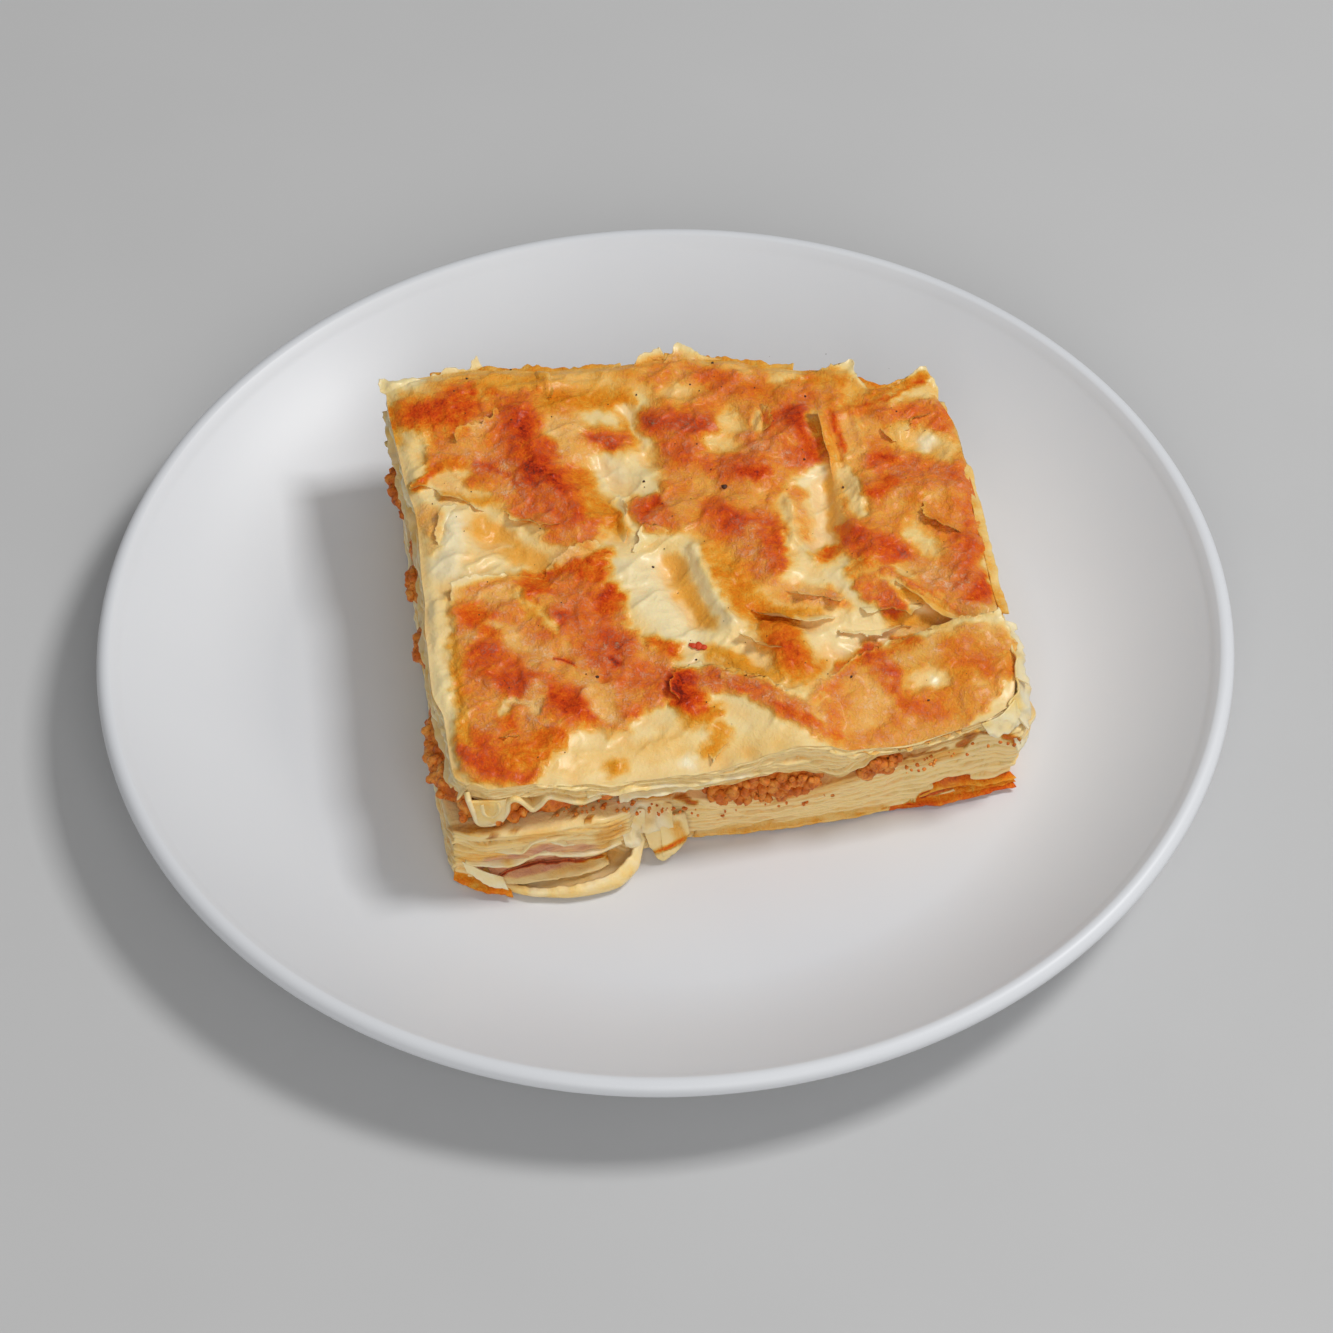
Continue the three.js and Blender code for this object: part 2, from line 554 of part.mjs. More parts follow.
/** The plate: a lathed coupe with a rounded lip and a foot ring. */
function plateGeometry() {
  const share = (r) => (r - WELL_RADIUS) / (WALL_FOOT - WELL_RADIUS);
  const wall = (r) => WELL_HEIGHT + WALL_RISE * share(r) ** WALL_POWER;
  const footMiddle = (FOOT_INNER + FOOT_OUTER) / 2;
  const lip = PLATE_RADIUS - RIM_WIDTH / 2;
  const lipMiddle = RIM_TOP - RIM_WIDTH / 2;
  const profile = [[0, UNDERSIDE_HEIGHT], [FOOT_INNER - 1, UNDERSIDE_HEIGHT],
    [footMiddle - FOOT_FLAT / 2, 0], [footMiddle + FOOT_FLAT / 2, 0],
    [FOOT_OUTER + 1, WELL_HEIGHT - PLATE_THICKNESS]];
  for (const r of [WELL_RADIUS, 90, 101]) profile.push([r, wall(r) - PLATE_THICKNESS]);
  for (const degrees of [-55, -15, 25, 65, 105]) {
    const angle = THREE.MathUtils.degToRad(degrees);
    profile.push([lip + (RIM_WIDTH / 2) * Math.cos(angle), lipMiddle + (RIM_WIDTH / 2) * Math.sin(angle)]);
  }
  for (const r of [WALL_FOOT, 101, 94, 86, WELL_RADIUS]) profile.push([r, wall(r)]);
  profile.push([0, WELL_HEIGHT]);
  return new THREE.LatheGeometry(profile.map(([r, z]) => new THREE.Vector2(r, z)), PLATE_SEGMENTS)
    .rotateX(Math.PI / 2);
}

/** How far the lower stack's cut side stands out at a height from 0 (base) to 1 (top). */
function lowerStandOut(u, v, level) {
  const sheets = crinkle(u * 0.9 + v * 1.1 + 17 * level, 0.45, 5 * level);
  const pocket = v < -44 ? smooth((u + 54) / 6) * smooth((-21 - u) / 5) : 0;
  const hollow = -3.4 * Math.exp(-(((level - 0.42) / 0.16) ** 2));
  const lip = 1.6 * smooth((0.3 - level) / 0.2);
  const rightEnd = smooth((u - 48) / 5) * smooth((-20 - v) / 10);
  const drawnIn = mix(-1.4, 2.2, smooth(level * 1.4));
  return sheets + pocket * (hollow + lip) + rightEnd * drawnIn;
}

/** The lower stack of sheets, with the lip of its pocket, its browned tab and its hanging tab. */
function lowerStack() {
  const mesh = new MeshBuilder();
  const under = addHiddenFace(mesh, hiddenFace(LOWER_EDGES, () => BASE_HEIGHT), true);
  const over = addHiddenFace(mesh, hiddenFace(LOWER_EDGES, lowerTop), false);
  addSide(mesh, under, over, 5, lowerStandOut);
  const hanging = frontSlab(HANGING_TAB.face, HANGING_TAB.front, HANGING_TAB.depth);
  return fused(mesh.geometry(), [hanging, sheetBand(POCKET_LIP), sheetBand(BROWNED_TAB)]);
}

/** Share of the outer band by which the meat is drawn in between the sheets. */
function meatDrawnIn(u, v) {
  if (v > -40) return 0.14 + 0.1 * Math.sin(u / 2.3 + v / 2.9);
  const shows = smooth((u + 10) / 3) * smooth((29 - u) / 3);
  const corner = smooth((-52 - u) / 2);
  return 0.8 - 0.74 * Math.max(shows, corner);
}

/** Moves the outer ring of a hidden face towards its second ring, along its own facets. */
function drawIn(face, offset) {
  const [outer, inner] = face.rings;
  const ring = outer.map((point, i) => {
    const low = inner[Math.floor(i / 2)];
    const high = inner[Math.ceil(i / 2) % inner.length];
    const share = meatDrawnIn(point[0], point[1]);
    return point.map((value, k) => mix(value, (low[k] + high[k]) / 2, share));
  });
  const shift = ([x, y, z]) => [x, y, z + offset];
  return { rings: [ring, inner, face.rings[2]].map((r) => r.map(shift)), centre: shift(face.centre) };
}

/** The meat layer: it follows the faces of both stacks, and lumps stand out at the cut. */
function meatLayer() {
  const mesh = new MeshBuilder();
  const under = addHiddenFace(mesh, drawIn(hiddenFace(LOWER_EDGES, lowerTop), SEAM_GAP), true);
  const over = addHiddenFace(mesh, drawIn(hiddenFace(UPPER_EDGES, upperUnderside), -SEAM_GAP), false);
  addSide(mesh, under, over, 2, (u, v) => 0.5 + crinkle(u * 1.7 - v * 1.9, 0.9, 0.7));
  const [below, above] = [under, over].map((ring) => ring.map((number) => mesh.at(number)));
  return fused(mesh.geometry(), MEAT_CRUMBS.map((crumb) => crumbOnSide(below, above, crumb)));
}

/** The upper stack of sheets, with its torn flakes and the ruffle at the front left. */
function upperStack() {
  const mesh = new MeshBuilder();
  const under = addHiddenFace(mesh, hiddenFace(UPPER_EDGES, upperUnderside), true);
  const over = addCrustFace(mesh);
  addSide(mesh, under, over, 3, (u, v, level) => crinkle(u * 0.8 - v + 13 * level, 0.5, 4 * level));
  const ruffle = frontSlab(bandOutline(RUFFLE_PATH, SHEET), RUFFLE_FRONT, RUFFLE_BACK - RUFFLE_FRONT);
  return fused(mesh.geometry(), [...FLAKES.map(flakeGeometry), ruffle]);
}

// ---------------------------------------------------------------- the object

/** A named mesh with its colour and finish. */
function piece(name, geometry, colour, roughness) {
  const material = new THREE.MeshStandardMaterial({ color: colour, roughness, metalness: 0 });
  const mesh = new THREE.Mesh(geometry, material);
  mesh.name = name;
  return mesh;
}

const slice = new THREE.Group();
slice.position.set(SLICE_PLACE[0], SLICE_PLACE[1], 0);
slice.rotation.z = SLICE_TURN;
slice.add(piece('pastry_bottom', lowerStack(), '#e6d7a4', 0.45));
slice.add(piece('meat_filling', meatLayer(), '#9a6038', 0.6));
slice.add(piece('pastry_top', upperStack(), '#dc9440', 0.4));

const dish = new THREE.Group();
dish.add(piece('plate', plateGeometry(), '#e9e9ea', 0.12));
dish.add(slice);

export default dish;
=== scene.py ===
"""A cut slice of su borek with minced meat on its plate, dressed for the render.

Lengths in the classes are millimetres in the slice's own directions: u to the right, v to the
back, z up from the table. They become metres in the row frame where a mesh is made.
"""
import logging
import math
from dataclasses import dataclass, field
from enum import Enum
from typing import TypeVar

import bpy
import numpy as np
from mathutils import Matrix, Vector

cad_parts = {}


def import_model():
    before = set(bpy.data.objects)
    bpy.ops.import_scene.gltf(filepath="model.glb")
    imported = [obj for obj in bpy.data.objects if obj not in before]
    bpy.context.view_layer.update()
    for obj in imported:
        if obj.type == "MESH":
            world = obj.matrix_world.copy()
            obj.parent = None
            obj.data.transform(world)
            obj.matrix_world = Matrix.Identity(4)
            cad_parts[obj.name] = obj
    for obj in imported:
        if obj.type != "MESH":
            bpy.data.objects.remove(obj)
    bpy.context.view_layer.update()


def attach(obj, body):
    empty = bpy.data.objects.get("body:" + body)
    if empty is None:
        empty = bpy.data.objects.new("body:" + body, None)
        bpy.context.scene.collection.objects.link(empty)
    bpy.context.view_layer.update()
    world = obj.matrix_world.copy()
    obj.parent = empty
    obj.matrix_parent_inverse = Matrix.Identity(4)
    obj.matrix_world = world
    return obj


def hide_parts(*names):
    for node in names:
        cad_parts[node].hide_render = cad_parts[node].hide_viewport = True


LOG = logging.getLogger("su_borek")
Array = np.ndarray
Knots = tuple[tuple[float, ...], ...]
Kind = TypeVar("Kind")

MM = 0.001
SLICE_TURN = math.radians(9)
SLICE_PLACE = (7.0, 3.5)
CRUST_HEIGHT = 32.0
CRUST_SLOPE = (-0.02, 0.02)
FRONT_PLANE = -48.0
CAMERA_TILT = math.radians(49.6593)
CAMERA_DISTANCE = 825.0
CAMERA_TARGET = (0.1948, 4.3249, 0.0)
CAMERA_FOCUS_PIXELS = 4168.82
PICTURE_PIXELS = 1333
SENSOR_WIDTH = 36.0


# ---- tables and small maths

def rows_of(kind: type[Kind], *rows: tuple) -> tuple[Kind, ...]:
    """One object of a kind for each row of its fields, in the order that the class names them."""
    return tuple(kind(*row) for row in rows)


def smooth(x: Array) -> Array:
    """Rises from 0 to 1 between 0 and 1 with level ends."""
    t = np.clip(x, 0.0, 1.0)
    return t * t * (3 - 2 * t)


def mix(a: Array, b: Array, t: Array) -> Array:
    """The value t of the way from a to b."""
    return a + (b - a) * t


def along(knots: Knots, x: Array) -> Array:
    """Value at x of a line through (x, y) knots, eased between neighbours.

    Args:
        knots: the (x, y) pairs, x rising.
        x: where the line is read.

    Returns:
        The line's value at each x.
    """
    places, values = np.array(knots, float).T
    x = np.clip(np.asarray(x, float), places[0], places[-1])
    i = np.clip(np.searchsorted(places, x, "right") - 1, 0, len(places) - 2)
    return mix(values[i], values[i + 1], smooth((x - places[i]) / (places[i + 1] - places[i])))


def crinkle(x: Array, size: float, phase: Array) -> Array:
    """Three sine waves of unlike length, each a share of the size."""
    middle = 0.6 * np.sin(x / 1.7 + 2.3 * phase + 1)
    short = 0.4 * np.sin(x / 0.9 + 4.1 * phase + 2)
    return size * (np.sin(x / 3.1 + phase) + middle + short) / 2


def lattice(cells: Array, seed: int) -> Array:
    """A repeatable value from -1 to 1 for whole-number cells, by mixing their bits."""
    parts = cells.astype(np.int64)
    h = parts[..., 0] * 374761393 + parts[..., 1] * 668265263 + parts[..., 2] * 974711 + seed * 1442695
    h = (h ^ (h >> 13)) & 0xFFFFFFFF
    h = (h * 1274126177) & 0xFFFFFFFF
    h = (h ^ (h >> 16)) & 0xFFFF
    return h / 32767.5 - 1


def noise(points: Array, size: float, seed: int, octaves: int = 1) -> Array:
    """Value noise: lattice values eased between corners, each octave half the size and weight.

    Args:
        points: (..., 2) or (..., 3) places in millimetres.
        size: cell size of the first octave.
        seed: which noise.
        octaves: how many are summed.

    Returns:
        Values from about -1 to 1.
    """
    if points.shape[-1] == 2:
        points = np.concatenate([points, np.zeros(points.shape[:-1] + (1,))], axis=-1)
    total = np.zeros(points.shape[:-1])
    for octave in range(octaves):
        scaled = points * (2 ** octave / size) + 13.7 * octave
        cell = np.floor(scaled)
        f = smooth(scaled - cell)
        corner_sum = 0.0
        for corner in np.ndindex(2, 2, 2):
            weight = np.prod(np.where(np.array(corner) == 1, f, 1 - f), axis=-1)
            corner_sum = corner_sum + weight * lattice(cell + np.array(corner), seed + octave)
        total += corner_sum / 2 ** octave
    return total * 1.3 / (2 - 2.0 ** (1 - octaves))


def from_polyline(u: Array, v: Array, points: Knots) -> Array:
    """Distance in plan from each place to a line through points."""
    if len(points) == 1:
        return np.hypot(u - points[0][0], v - points[0][1])
    best = np.full(np.shape(u), 1e9)
    for (u0, v0), (u1, v1) in zip(points[:-1], points[1:]):
        du, dv = u1 - u0, v1 - v0
        t = np.clip(((u - u0) * du + (v - v0) * dv) / (du * du + dv * dv), 0, 1)
        best = np.minimum(best, np.hypot(u - u0 - t * du, v - v0 - t * dv))
    return best


def from_outline(u: Array, v: Array, outline: Knots) -> Array:
    """Signed distance to a closed outline: below zero inside, by counting crossed edges."""
    closed = tuple(outline) + (outline[0],)
    inside = np.zeros(np.shape(u), bool)
    for (u0, v0), (u1, v1) in zip(closed[:-1], closed[1:]):
        if v0 != v1:
            crosses = (v0 > v) != (v1 > v)
            inside ^= crosses & (u < (u1 - u0) * (v - v0) / (v1 - v0) + u0)
    return np.where(inside, -1, 1) * from_polyline(u, v, closed)


def curve(knots: Knots, count: int) -> Array:
    """A smooth curve through knots, evenly spaced by length.

    Each stretch is the Catmull-Rom cubic of its four nearest knots; the fine result is then read
    again at even lengths.

    Args:
        knots: points of 2 or 3 numbers.
        count: number of points wanted.

    Returns:
        (count, 2 or 3) array.
    """
    k = np.array(knots, float)
    k = np.concatenate([[2 * k[0] - k[1]], k, [2 * k[-1] - k[-2]]])
    t = np.linspace(0, len(knots) - 1, 24 * len(knots))
    i = np.minimum(t.astype(int), len(knots) - 2)
    f = (t - i)[:, None]
    a, b, c, d = k[i], k[i + 1], k[i + 2], k[i + 3]
    fine = 0.5 * (2 * b + (c - a) * f + (2 * a - 5 * b + 4 * c - d) * f ** 2
                  + (3 * b - a - 3 * c + d) * f ** 3)
    length = np.concatenate([[0], np.cumsum(np.linalg.norm(np.diff(fine, axis=0), axis=1))])
    even = np.linspace(0, length[-1], count)
    return np.stack([np.interp(even, length, fine[:, j]) for j in range(fine.shape[1])], axis=1)


def to_row(points: Array) -> Array:
    """Metres in the row frame for (..., 3) slice places: turned, moved, scaled."""
    c, s = math.cos(SLICE_TURN), math.sin(SLICE_TURN)
    u, v, z = points[..., 0], points[..., 1], points[..., 2]
    x = SLICE_PLACE[0] + u * c - v * s
    y = SLICE_PLACE[1] + u * s + v * c
    return np.stack([x, y, z], axis=-1) * MM


def laid_out(u: Array, v: Array, z: Array, front: bool = False) -> tuple[Array, Array]:
    """Where a point's colour is looked up.

    The browning was laid out on the crust's tilted middle plane, and the marks of the front cut
    on an upright plane, both as they look from the front and above. A point off the plane is
    carried along that sight line until it meets the plane.

    Args:
        u: places across.
        v: places back.
        z: heights.
        front: whether the upright plane of the front cut is meant.

    Returns:
        The place on the plane: across and back, or across and up.
    """
    x = CAMERA_TARGET[0] - SLICE_PLACE[0]
    y = CAMERA_TARGET[1] - CAMERA_DISTANCE * math.cos(CAMERA_TILT) - SLICE_PLACE[1]
    c, s = math.cos(SLICE_TURN), math.sin(SLICE_TURN)
    eye = (x * c + y * s, y * c - x * s, CAMERA_DISTANCE * math.sin(CAMERA_TILT))

    def above(pu: Array, pv: Array, pz: Array) -> Array:
        """Distance from the plane, on the side of the sight line's far end."""
        if front:
            return FRONT_PLANE - pv
        return pz - CRUST_HEIGHT - CRUST_SLOPE[0] * pu - CRUST_SLOPE[1] * pv

    high = above(*eye)
    low = above(u, v, z)
    t = low / (low - high)
    return mix(u, eye[0], t), mix(z if front else v, eye[2 if front else 1], t)


# ---- meshes

def grid_faces(rows: int, columns: int, wrap: bool = False) -> Array:
    """Quads of a rows by columns grid of points, numbered row by row.

    Args:
        rows: points down.
        columns: points across.
        wrap: whether the last column joins the first.

    Returns:
        (faces, 4) point numbers.
    """
    last = columns if wrap else columns - 1
    r, c = np.meshgrid(np.arange(rows - 1), np.arange(last), indexing="ij")
    n = (c + 1) % columns
    quads = np.stack([r * columns + c, r * columns + n, (r + 1) * columns + n, (r + 1) * columns + c], -1)
    return quads.reshape(-1, 4)


def make_piece(name: str, points: Array, faces: Array, material: bpy.types.Material, node: str,
               paint: dict[str, Array] | None = None, in_slice: bool = True) -> None:
    """Makes a mesh object, hangs it on the body and lets it stand for a solid.

    Args:
        name: piece name.
        points: (n, 3) places in millimetres.
        faces: (m, 3) or (m, 4) point numbers.
        material: its finish.
        node: the solid that it replaces.
        paint: named values, one per point.
        in_slice: whether the places are in the slice's directions or the row's.
    """
    flat = to_row(points) if in_slice else points * MM
    mesh = bpy.data.meshes.new(name)
    mesh.from_pydata(flat.tolist(), [], faces.tolist())
    mesh.polygons.foreach_set("use_smooth", np.ones(len(faces), bool))
    for key, values in (paint or {}).items():
        layer = mesh.attributes.new(key, "FLOAT", "POINT")
        layer.data.foreach_set("value", np.ascontiguousarray(values, np.float32))
    mesh.materials.append(material)
    mesh.update()
    piece = bpy.data.objects.new(name, mesh)
    bpy.context.scene.collection.objects.link(piece)
    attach(piece, "root")
    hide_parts(node)
    LOG.info("%s: %d faces", name, len(faces))


# ---- shader help

class Sock:
    """A node output or a plain number that adds, subtracts and multiplies as nodes."""

    def __init__(self, tree: bpy.types.NodeTree, value: bpy.types.NodeSocket | float) -> None:
        """Holds the tree and the value."""
        self.tree = tree
        self.value = value

    def math(self, operation: str, *others: "Sock | float") -> "Sock":
        """A Math node of this value and others."""
        made = self.tree.nodes.new("ShaderNodeMath")
        made.operation = operation
        for socket, value in zip(made.inputs, (self,) + others):
            join(self.tree, socket, value)
        return Sock(self.tree, made.outputs[0])

    def __add__(self, other: "Sock | float") -> "Sock":
        """Sum."""
        return self.math("ADD", other)

    __radd__ = __add__

    def __mul__(self, other: "Sock | float") -> "Sock":
        """Product."""
        return self.math("MULTIPLY", other)

    __rmul__ = __mul__

    def __sub__(self, other: "Sock | float") -> "Sock":
        """Difference."""
        return self.math("SUBTRACT", other)

    def __rsub__(self, other: "Sock | float") -> "Sock":
        """Difference from a number."""
        return Sock(self.tree, other).math("SUBTRACT", self)

    def clamped(self) -> "Sock":
        """Kept from 0 to 1."""
        return self.math("MINIMUM", 1.0).math("MAXIMUM", 0.0)


def join(tree: bpy.types.NodeTree, socket: bpy.types.NodeSocket, value: object) -> None:
    """Links an output to a socket, or sets the socket's value."""
    if isinstance(value, Sock):
        value = value.value
    if isinstance(value, bpy.types.NodeSocket):
        tree.links.new(value, socket)
    else:
        socket.default_value = value


def srgb(red: float, green: float, blue: float) -> tuple[float, float, float, float]:
    """Linear colour of screen values from 0 to 255."""
    linear = [((c / 255 + 0.055) / 1.055) ** 2.4 if c > 10.3 else c / 255 / 12.92
              for c in (red, green, blue)]
    return (*linear, 1.0)


class Shader:
    """A node material under construction."""

    def __init__(self, name: str) -> None:
        """Starts a material with its output."""
        self.material = bpy.data.materials.new(name)
        self.material.use_nodes = True
        self.tree = self.material.node_tree
        self.tree.nodes.clear()
        self.output = self.tree.nodes.new("ShaderNodeOutputMaterial")
        self.place = self.make("ShaderNodeTexCoord", output="Object")

    def make(self, kind: str, settings: dict[str, object] | None = None, output: str | int = 0,
             **inputs: object) -> Sock:
        """Makes any node.

        Args:
            kind: node type.
            settings: its properties, set before its sockets.
            output: which output is returned.
            inputs: socket values or links; an underscore stands for a blank.

        Returns:
            The chosen output.
        """
        made = self.tree.nodes.new(kind)
        for key, value in (settings or {}).items():
            setattr(made, key, value)
        for key, value in inputs.items():
            join(self.tree, made.inputs[key.replace("_", " ")], value)
        return Sock(self.tree, made.outputs[output])

    def attribute(self, name: str) -> Sock:
        """A painted value of the mesh."""
        return self.make("ShaderNodeAttribute", {"attribute_name": name}, "Fac")

    def noise(self, size: float, detail: float = 2.0, roughness: float = 0.5) -> Sock:
        """Noise from 0 to 1 with features of about size millimetres."""
        return self.make("ShaderNodeTexNoise", output="Fac", Vector=self.place, Scale=1000 / size,
                         Detail=detail, Roughness=roughness)

    def mix(self, first: object, second: object, share: object) -> Sock:
        """A colour between two by a share."""
        made = self.tree.nodes.new("ShaderNodeMix")
        made.data_type = "RGBA"
        for index, value in ((0, share), (6, first), (7, second)):
            join(self.tree, made.inputs[index], value)
        return Sock(self.tree, made.outputs[2])

    def ramp(self, value: Sock, stops: tuple[tuple[float, tuple[float, ...]], ...]) -> Sock:
        """A colour for each value, by stops of (value, colour)."""
        made = self.tree.nodes.new("ShaderNodeValToRGB")
        elements = made.color_ramp.elements
        while len(elements) < len(stops):
            elements.new(0.5)
        for element, (at, colour) in zip(elements, stops):
            element.position = at
            element.color = colour
        join(self.tree, made.inputs[0], value)
        return Sock(self.tree, made.outputs[0])

    def finish(self, normal: Sock | None = None, **inputs: object) -> bpy.types.Material:
        """Closes the material with a Principled shader."""
        made = self.tree.nodes.new("ShaderNodeBsdfPrincipled")
        for key, value in inputs.items():
            join(self.tree, made.inputs[key.replace("_", " ")], value)
        if normal is not None:
            join(self.tree, made.inputs["Normal"], normal)
        self.tree.links.new(made.outputs[0], self.output.inputs["Surface"])
        return self.material


# ---- finishes

@dataclass(frozen=True)
class PastryFinish:
    """Boiled and baked pastry: translucent cream where pale, mottled and grained where browned.

    It reads the painted values browning (0 cream to 1 deep red-brown), ochre (a yellow, partly the
    pastry's own, partly painted shade in hollows and grooves), frost (dry whitish crumbs, partly
    painted highlights as whitish glints), stain (meat juice) and blush (the pink of a wet inner sheet).
    """

    name: str = "baked_pastry"
    grain: float = 0.42
    mottle: float = 2.4
    stops: tuple[tuple[float, tuple[float, float, float]], ...] = (
        (0.0, (248, 233, 192)), (0.14, (250, 217, 142)), (0.3, (255, 184, 74)), (0.46, (255, 146, 28)),
        (0.6, (247, 112, 6)), (0.76, (230, 78, 0)), (0.9, (196, 50, 0)), (1.0, (130, 28, 2)))

    def build(self) -> bpy.types.Material:
        """Makes the material: a ramp over browning that noise of three sizes breaks up.

        Returns:
            The finished material.
        """
        s = Shader(self.name)
        fine, middle = s.noise(self.grain, 3.0, 0.7), s.noise(self.mottle, 4.0, 0.6)
        small = s.noise(1.1, 3.0, 0.65)
        brown, frost_and_glint = s.attribute("browning"), s.attribute("frost_and_glint")
        active = (brown * 2.6 - 0.2).clamped()
        broken = brown + ((fine - 0.5) * 0.48 + (middle - 0.5) * 0.46 + (small - 0.5) * 0.54) * active
        colour = s.ramp(broken.clamped(), tuple((at, srgb(*rgb)) for at, rgb in self.stops))
        # Ochre tint: partly the pastry's own yellow, partly painted shade where hollows, grooves and
        # folds are marked.
        colour = s.mix(colour, srgb(240, 162, 24), (s.attribute("ochre") * 0.72).clamped())
        # Frost paints a peach tint and whitish speckles: partly dry crumbs, partly painted highlights
        # (glints).
        dust_and_glint = (frost_and_glint * ((fine * 0.4 + small * 0.6 - 0.49) * 11.0)).clamped() * 0.62
        colour = s.mix(colour, srgb(255, 190, 112), frost_and_glint * (1 - broken).clamped() * 0.85)
        colour = s.mix(colour, srgb(255, 216, 168), dust_and_glint)
        dark = (frost_and_glint * ((0.42 - fine) * 7.0)).clamped() * 0.5
        colour = s.mix(colour, srgb(208, 80, 18), dark)
        juice = s.mix(srgb(140, 72, 26), srgb(192, 122, 66), middle)
        colour = s.mix(colour, juice, s.attribute("stain"))
        pink = s.mix(srgb(196, 110, 86), srgb(232, 176, 150), middle)
        colour = s.mix(colour, pink, s.attribute("blush"))
        ridge = (1 - (s.noise(5.0, 3.0, 0.55) * 2 - 1).math("ABSOLUTE")).math("POWER", 4.0)
        height = (fine * (active * 0.8 + 0.12) + small * (active * 0.7 + 0.15)
                  + middle * (active * 0.3 + 0.3) + ridge * 0.2)
        normal = s.make("ShaderNodeBump", Strength=0.85, Distance=0.0007, Height=height)
        rough = 0.32 + active * 0.22 + dust_and_glint * 0.15
        return s.finish(normal, Base_Color=colour, Roughness=rough, Subsurface_Weight=0.14,
                        Subsurface_Radius=(1.0, 0.5, 0.2), Subsurface_Scale=0.002,
                        Coat_Weight=0.42 - active * 0.28, Coat_Roughness=0.27, Specular_IOR_Level=0.15)


@dataclass(frozen=True)
class MeatFinish:
    """Cooked minced meat: brown grains of several tones with a fatty gleam."""

    name: str = "cooked_mince"

    def build(self) -> bpy.types.Material:
        """Makes the material: broad noise picks between four browns, fine noise adds dark grains.

        Returns:
            The finished material.
        """
        s = Shader(self.name)
        fine, middle = s.noise(0.7, 3.0, 0.6), s.noise(2.6, 3.0, 0.6)
        colour = s.ramp((middle * 1.5 - 0.25).clamped(), (
            (0.0, srgb(146, 62, 10)), (0.4, srgb(218, 112, 28)), (0.7, srgb(246, 158, 64)),
            (1.0, srgb(253, 204, 116))))
        colour = s.mix(colour, srgb(112, 52, 18), ((0.45 - fine) * 4.0).clamped())
        normal = s.make("ShaderNodeBump", Strength=0.6, Distance=0.0005, Height=fine + middle)
        return s.finish(normal, Base_Color=colour, Roughness=0.42 + fine * 0.2, Subsurface_Weight=0.12,
                        Subsurface_Radius=(1.0, 0.4, 0.2), Subsurface_Scale=0.0015, Coat_Weight=0.08,
                        Coat_Roughness=0.25, Specular_IOR_Level=0.3)


@dataclass(frozen=True)
class SpeckFinish:
    """Dry spice: a dark base tone with lighter grain."""

    name: str
    dark: tuple[float, float, float]
    light: tuple[float, float, float]

    def build(self) -> bpy.types.Material:
        """Makes the material: fine noise between the two tones.

        Returns:
            The finished material.
        """
        s = Shader(self.name)
        fine = s.noise(0.5, 2.0)
        normal = s.make("ShaderNodeBump", Strength=0.5, Distance=0.0002, Height=fine)
        return s.finish(normal, Base_Color=s.mix(srgb(*self.dark), srgb(*self.light), fine),
                        Roughness=0.5 + fine * 0.2)


@dataclass(frozen=True)
class GlazeFinish:
    """White glazed ceramic: a soft gloss over a body with the faintest unevenness."""

    name: str = "white_glaze"

    def build(self) -> bpy.types.Material:
        """Makes the material: broad noise moves colour, roughness and surface by a trace.

        Returns:
            The finished material.
        """
        s = Shader(self.name)
        broad, fine = s.noise(40.0, 2.0), s.noise(6.0, 2.0)
        colour = s.mix(srgb(220, 222, 226), srgb(226, 228, 231), broad)
        normal = s.make("ShaderNodeBump", Strength=0.03, Distance=0.0004, Height=broad + fine * 0.3)
        return s.finish(normal, Base_Color=colour, Roughness=0.4 + broad * 0.06, Coat_Weight=0.1,
                        Coat_Roughness=0.3, Specular_IOR_Level=0.35)


@dataclass(frozen=True)
class FloorFinish:
    """Plain pale studio floor with a trace of unevenness in tone."""

    name: str = "pale_floor"

    def build(self) -> bpy.types.Material:
        """Makes the material: one grey whose tone moves by broad noise.

        Returns:
            The finished material.
        """
        s = Shader(self.name)
        tone = s.noise(60.0, 3.0)
        return s.finish(Base_Color=s.mix(srgb(196, 196, 196), srgb(202, 202, 202), tone), Roughness=0.9)


# ---- browning

@dataclass(frozen=True)
class Stroke:
    """One patch of browning: a line with a radius, or a filled outline where the radius is 0."""

    points: Knots
    radius: float
    value: float
    soft: float = 1.8
    ochre: float = 0.0
    frost_and_glint: float = 0.0
    stain: float = 0.0
    blush: float = 0.0

    def cover(self, u: Array, v: Array, ease: float) -> Array:
        """1 inside the patch and 0 outside, eased over its soft width times ease."""
        if self.radius == 0:
            away = from_outline(u, v, self.points)
        else:
            away = from_polyline(u, v, self.points) - self.radius
        return smooth(0.5 - away / (self.soft * ease))


PLATE_OUTLINE: Knots = (
    (-47, 0), (-44, 1.5), (-38, 2.5), (-31, 2.5), (-27, 0), (-20, 3), (-18, 0), (-19, -4), (-16, -8),
    (-16, -14), (-14, -18), (-11, -21), (-8, -23), (-11, -26), (-12, -30), (-14, -34), (-19, -34),
    (-20, -38), (-24, -39), (-28, -34), (-33, -38), (-37, -42), (-38, -46), (-44, -47), (-50, -46),
    (-53, -43), (-50, -36), (-50, -20), (-49, -10), (-49, -3))
FLAP_OUTLINE: Knots = (
    (13, -38), (15, -33), (20, -31.5), (24, -29), (27, -27), (32, -25.5), (40, -25), (46, -23.5),
    (50, -24), (54, -25), (56, -30), (54, -36), (50, -41), (46, -45), (41, -49), (37, -52), (31, -52.5),
    (20, -52), (18, -50), (18, -46), (14, -42))


